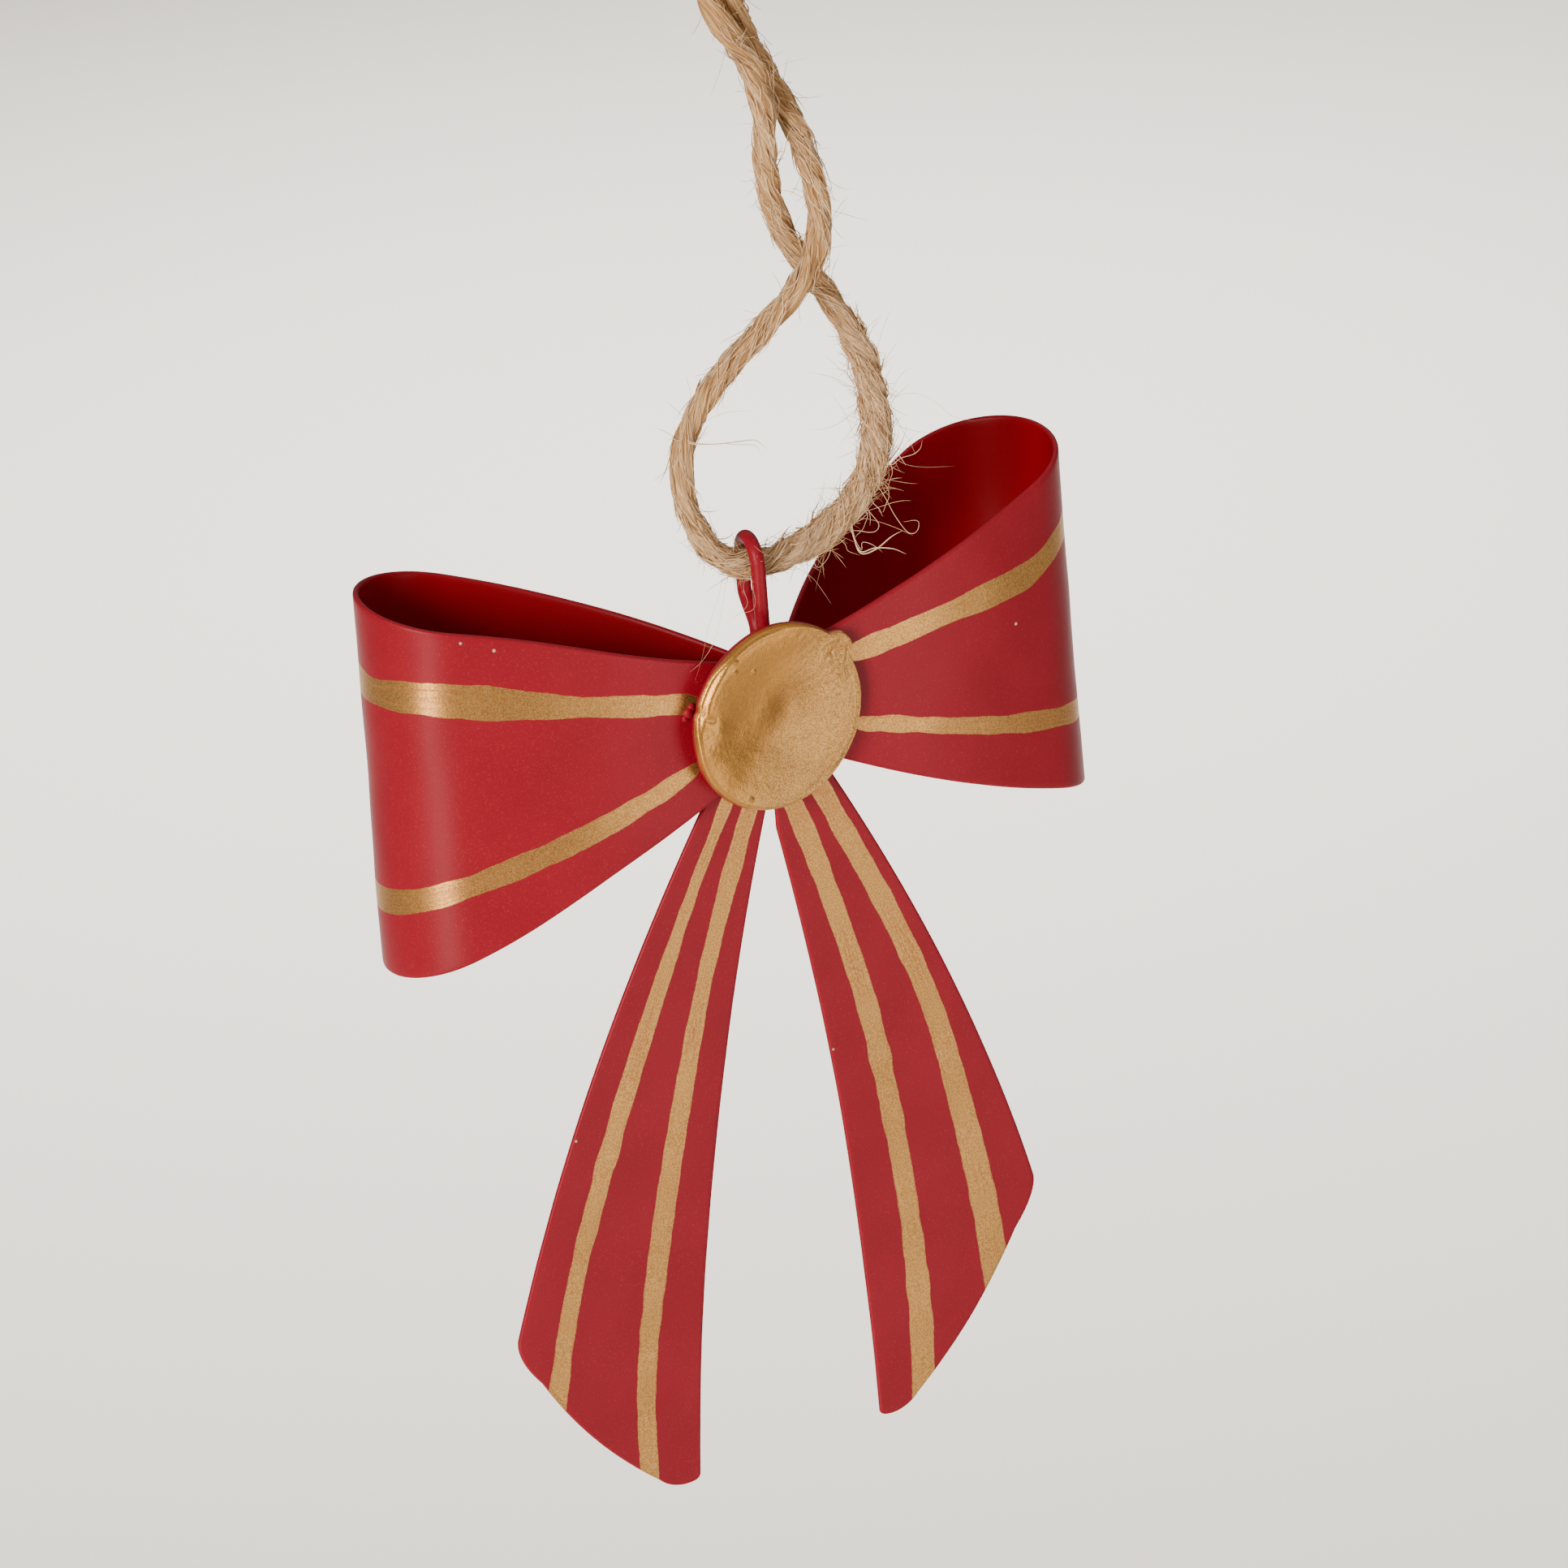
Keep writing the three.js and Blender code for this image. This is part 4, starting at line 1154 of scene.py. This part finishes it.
def make_eye(finish):
    """The wire runs up in front, over the top in a half circle, down behind, and forward again to
    its foot along a cubic curve that leaves and arrives straight down."""
    shoulder = EYE_TOP - EYE_HALF
    closed = -EYE_HALF + WIRE + JOINT_GAP
    turn = np.linspace(0, np.pi, 50)
    t = np.linspace(0, 1, 40)[:, None]
    a, b, c, d = (
        np.array(p) for p in ((EYE_HALF, EYE_WAIST), (EYE_HALF, EYE_WAIST - 1.2),
                              (closed, EYE_NECK + 1.2), (closed, EYE_NECK))
    )
    sway = (1 - t) ** 3 * a + 3 * t * (1 - t) ** 2 * b + 3 * t**2 * (1 - t) * c + t**3 * d
    line = np.vstack(
        [[(-EYE_HALF, EYE_FOOT)],
         np.stack([-EYE_HALF * np.cos(turn), shoulder + EYE_HALF * np.sin(turn)], 1),
         sway, [(closed, EYE_FOOT)]]
    )
    line = resample(line, EYE_ROWS)
    turned = np.radians(EYE_TURN)
    path = np.stack(
        [line[:, 0] * np.sin(turned), line[:, 0] * np.cos(turned) + EYE_MIDDLE_Y, line[:, 1]], 1
    ) + BOW_PLACE
    run = np.linspace(0, 1, len(path))
    thick = WIRE / 2 * (1 + 0.012 * waves(run[:, None], 0.2, 90))
    return ring_body("wire_eye", tube_rings(path, thick, EYE_AROUND), finish)


def surface_near(made, near):
    """The point of a piece's surface, and the way it faces, nearest to a place in the part's
    frame in millimetres."""
    count = len(made.data.vertices)
    points, facing = np.empty(count * 3), np.empty(count * 3)
    made.data.vertices.foreach_get("co", points)
    made.data.vertices.foreach_get("normal", facing)
    points, facing = points.reshape(-1, 3) / MM, facing.reshape(-1, 3)
    i = np.linalg.norm(points - near, axis=1).argmin()
    return points[i], facing[i]


def paint_drops(name, drops, finish):
    """Low round drops: each is a ball of its own width, flattened to 0.7 along the way that the
    surface under it faces, with its middle on that surface."""
    rows, around = 9, 16
    lift = np.linspace(-1.45, 1.45, rows)
    a = full_turn(around)
    points, quads, caps = [], [], []
    for number, (at, facing, width) in enumerate(drops):
        one = np.cross(facing, [0.3, 0.2, 0.9])
        one /= np.linalg.norm(one)
        two = np.cross(facing, one)
        ring = one * np.cos(a)[:, None] + two * np.sin(a)[:, None]
        body = ring * np.cos(lift)[:, None, None] + 0.7 * facing * np.sin(lift)[:, None, None]
        poles = 0.7 * np.outer([-1, 1], facing)
        points.append(at + width / 2 * np.vstack([body.reshape(-1, 3), poles]))
        first = number * (rows * around + 2)
        quads.append(ring_faces(rows, around, first))
        caps.append(end_caps(rows, around, first))
    return put_mesh(name, np.vstack(points), np.vstack(quads), np.vstack(caps), finish)


# Making

place_camera()
twine_finish = jute("jute_twine")
fibre_finish = jute("jute_fibre", fine=True)
twine, twine_line, twine_run, twine_thick, twine_length = make_twine(twine_finish)
# Loose fibres: name, how many, thickness, sides, seed of their places, and how far the standing
# ones reach. The next seed is that of their tones.
pieces_on_twine = []
for name, count, thickness, sides, seed, reach in (
    ("twine_lay_one", 420, 0.13, 4, 11, None), ("twine_lay_two", 640, 0.08, 4, 13, None),
    ("twine_fuzz", 700, 0.045, 3, 15, 2.6), ("twine_hairs", 110, 0.04, 3, 17, 6.0),
):
    if reach:
        paths = fuzz_fibres(twine_line, twine_thick, count, seed, reach)
    else:
        paths = lay_fibres(twine_line, twine_run, twine_thick, twine_length, count, seed)
    pieces_on_twine.append(put_fibres(name, paths, thickness, sides, fibre_finish, seed + 1))
stray_paths, stray_sizes = stray_fibres(twine_line)
pieces_on_twine.append(
    put_fibres("twine_strays", stray_paths, stray_sizes, 6, fibre_finish, 19, worn_and_lit=1.0)
)
knot = make_knot(twine_finish)
knot_fray = put_fibres("knot_fray", knot_brush(22), 0.08, 4, fibre_finish, 23)

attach(twine, "root")
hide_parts("twine_cord")
for piece in pieces_on_twine + knot + [knot_fray]:
    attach(piece, "root")
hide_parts("cord_knot")

sheet_finish = painted_sheet("painted_strip", "paint")
wire_finish = painted_sheet("painted_wire")
disc_finish = gold_face("gold_face", "face")
loop_left = make_loop("loop_left", -1, sheet_finish)
loop_right = make_loop("loop_right", 1, sheet_finish)
tail_left = make_tail("tail_left", -1, sheet_finish)
tail_right = make_tail("tail_right", 1, sheet_finish)
for made, node in (
    (loop_left, "left_loop"), (loop_right, "right_loop"), (tail_left, "left_tail"),
    (tail_right, "right_tail"), (make_eye(wire_finish), "hanging_eye"),
):
    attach(made, "root")
    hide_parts(node)
gold_disc = make_disc(disc_finish)
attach(gold_disc, "root")
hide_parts("centre_disc")

# Small pale drops of paint on the loops and tails, and a red run of paint beside the disc
speck_finish = plain_finish("pale_specks", SPECK, 0.5)
specks = [
    (*surface_near(made, BOW_PLACE + at), width)
    for made, at, width in (
        (loop_left, (-26.0, 6.0, 12.4), 0.28), (loop_left, (-23.5, 4.9, 11.3), 0.32),
        (loop_right, (23.2, 0.6, 1.5), 0.3), (tail_left, (-22.2, 1.5, -32.2), 0.26),
        (tail_right, (3.2, 1.5, -32.6), 0.24),
    )
]
drips = [
    (*surface_near(loop_left, BOW_PLACE + at), width)
    for at, width in (
        ((-7.9, 1.6, 2.7), 0.7), ((-8.2, 1.6, 2.3), 0.95), ((-8.7, 1.7, 2.0), 0.6),
    )
]
for made in (
    paint_drops("paint_specks", specks, speck_finish), paint_drops("red_run", drips, wire_finish)
):
    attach(made, "root")


# Floor and light

FLOOR_Z = -0.7
FLOOR_HALF = 6.0


def make_floor():
    """A square floor under the bow."""
    corners = np.array([(-1, -1), (1, -1), (1, 1), (-1, 1)]) * FLOOR_HALF
    points = np.c_[corners, np.full(4, FLOOR_Z)] / MM
    finish = plain_finish("pale_floor", FLOOR, 0.9)
    made = put_mesh("floor", points, [(0, 1, 2, 3)], (), finish)


def add_light(name, at, aim, size, power, colour, spread=180):
    """A soft square light that faces its aim and shines over an angle, its spread in degrees."""
    data = bpy.data.lights.new(name, "AREA")
    data.energy, data.color, data.size = power, colour, size
    data.spread = np.radians(spread)
    made = bpy.data.objects.new(name, data)
    bpy.context.scene.collection.objects.link(made)
    made.location = at
    facing = Vector(aim) - Vector(at)
    made.rotation_mode = "QUATERNION"
    made.rotation_quaternion = facing.to_track_quat("-Z", "Y")


make_floor()
# Places, aims and sizes are in metres and powers in watts
BOW_MIDDLE = (0, 0, -0.07)
add_light("key", (-1.00, -0.55, 0.34), BOW_MIDDLE, 0.45, 16.5, (1.0, 0.94, 0.86))
add_light("low", (-0.93, -0.61, -0.50), BOW_MIDDLE, 0.32, 4.5, (1.0, 0.92, 0.80))
add_light("fill", (0.40, -1.09, -0.33), BOW_MIDDLE, 0.55, 3.1, (1.0, 0.98, 0.96))
add_light("above", (0.35, -0.5, 1.1), BOW_MIDDLE, 1.4, 3.5, (1.0, 0.98, 0.96))
add_light("backdrop", (0.9, 1.5, 0.6), (0.8, 1.4, FLOOR_Z), 1.4, 30.0, (1.0, 0.98, 0.95), 110)

world = bpy.data.worlds.new("soft_room")
bpy.context.scene.world = world
world.use_nodes = True
fill(
    world.node_tree, world.node_tree.nodes["Background"],
    {"Color": (0.90, 0.87, 0.83, 1), "Strength": 0.27},
)
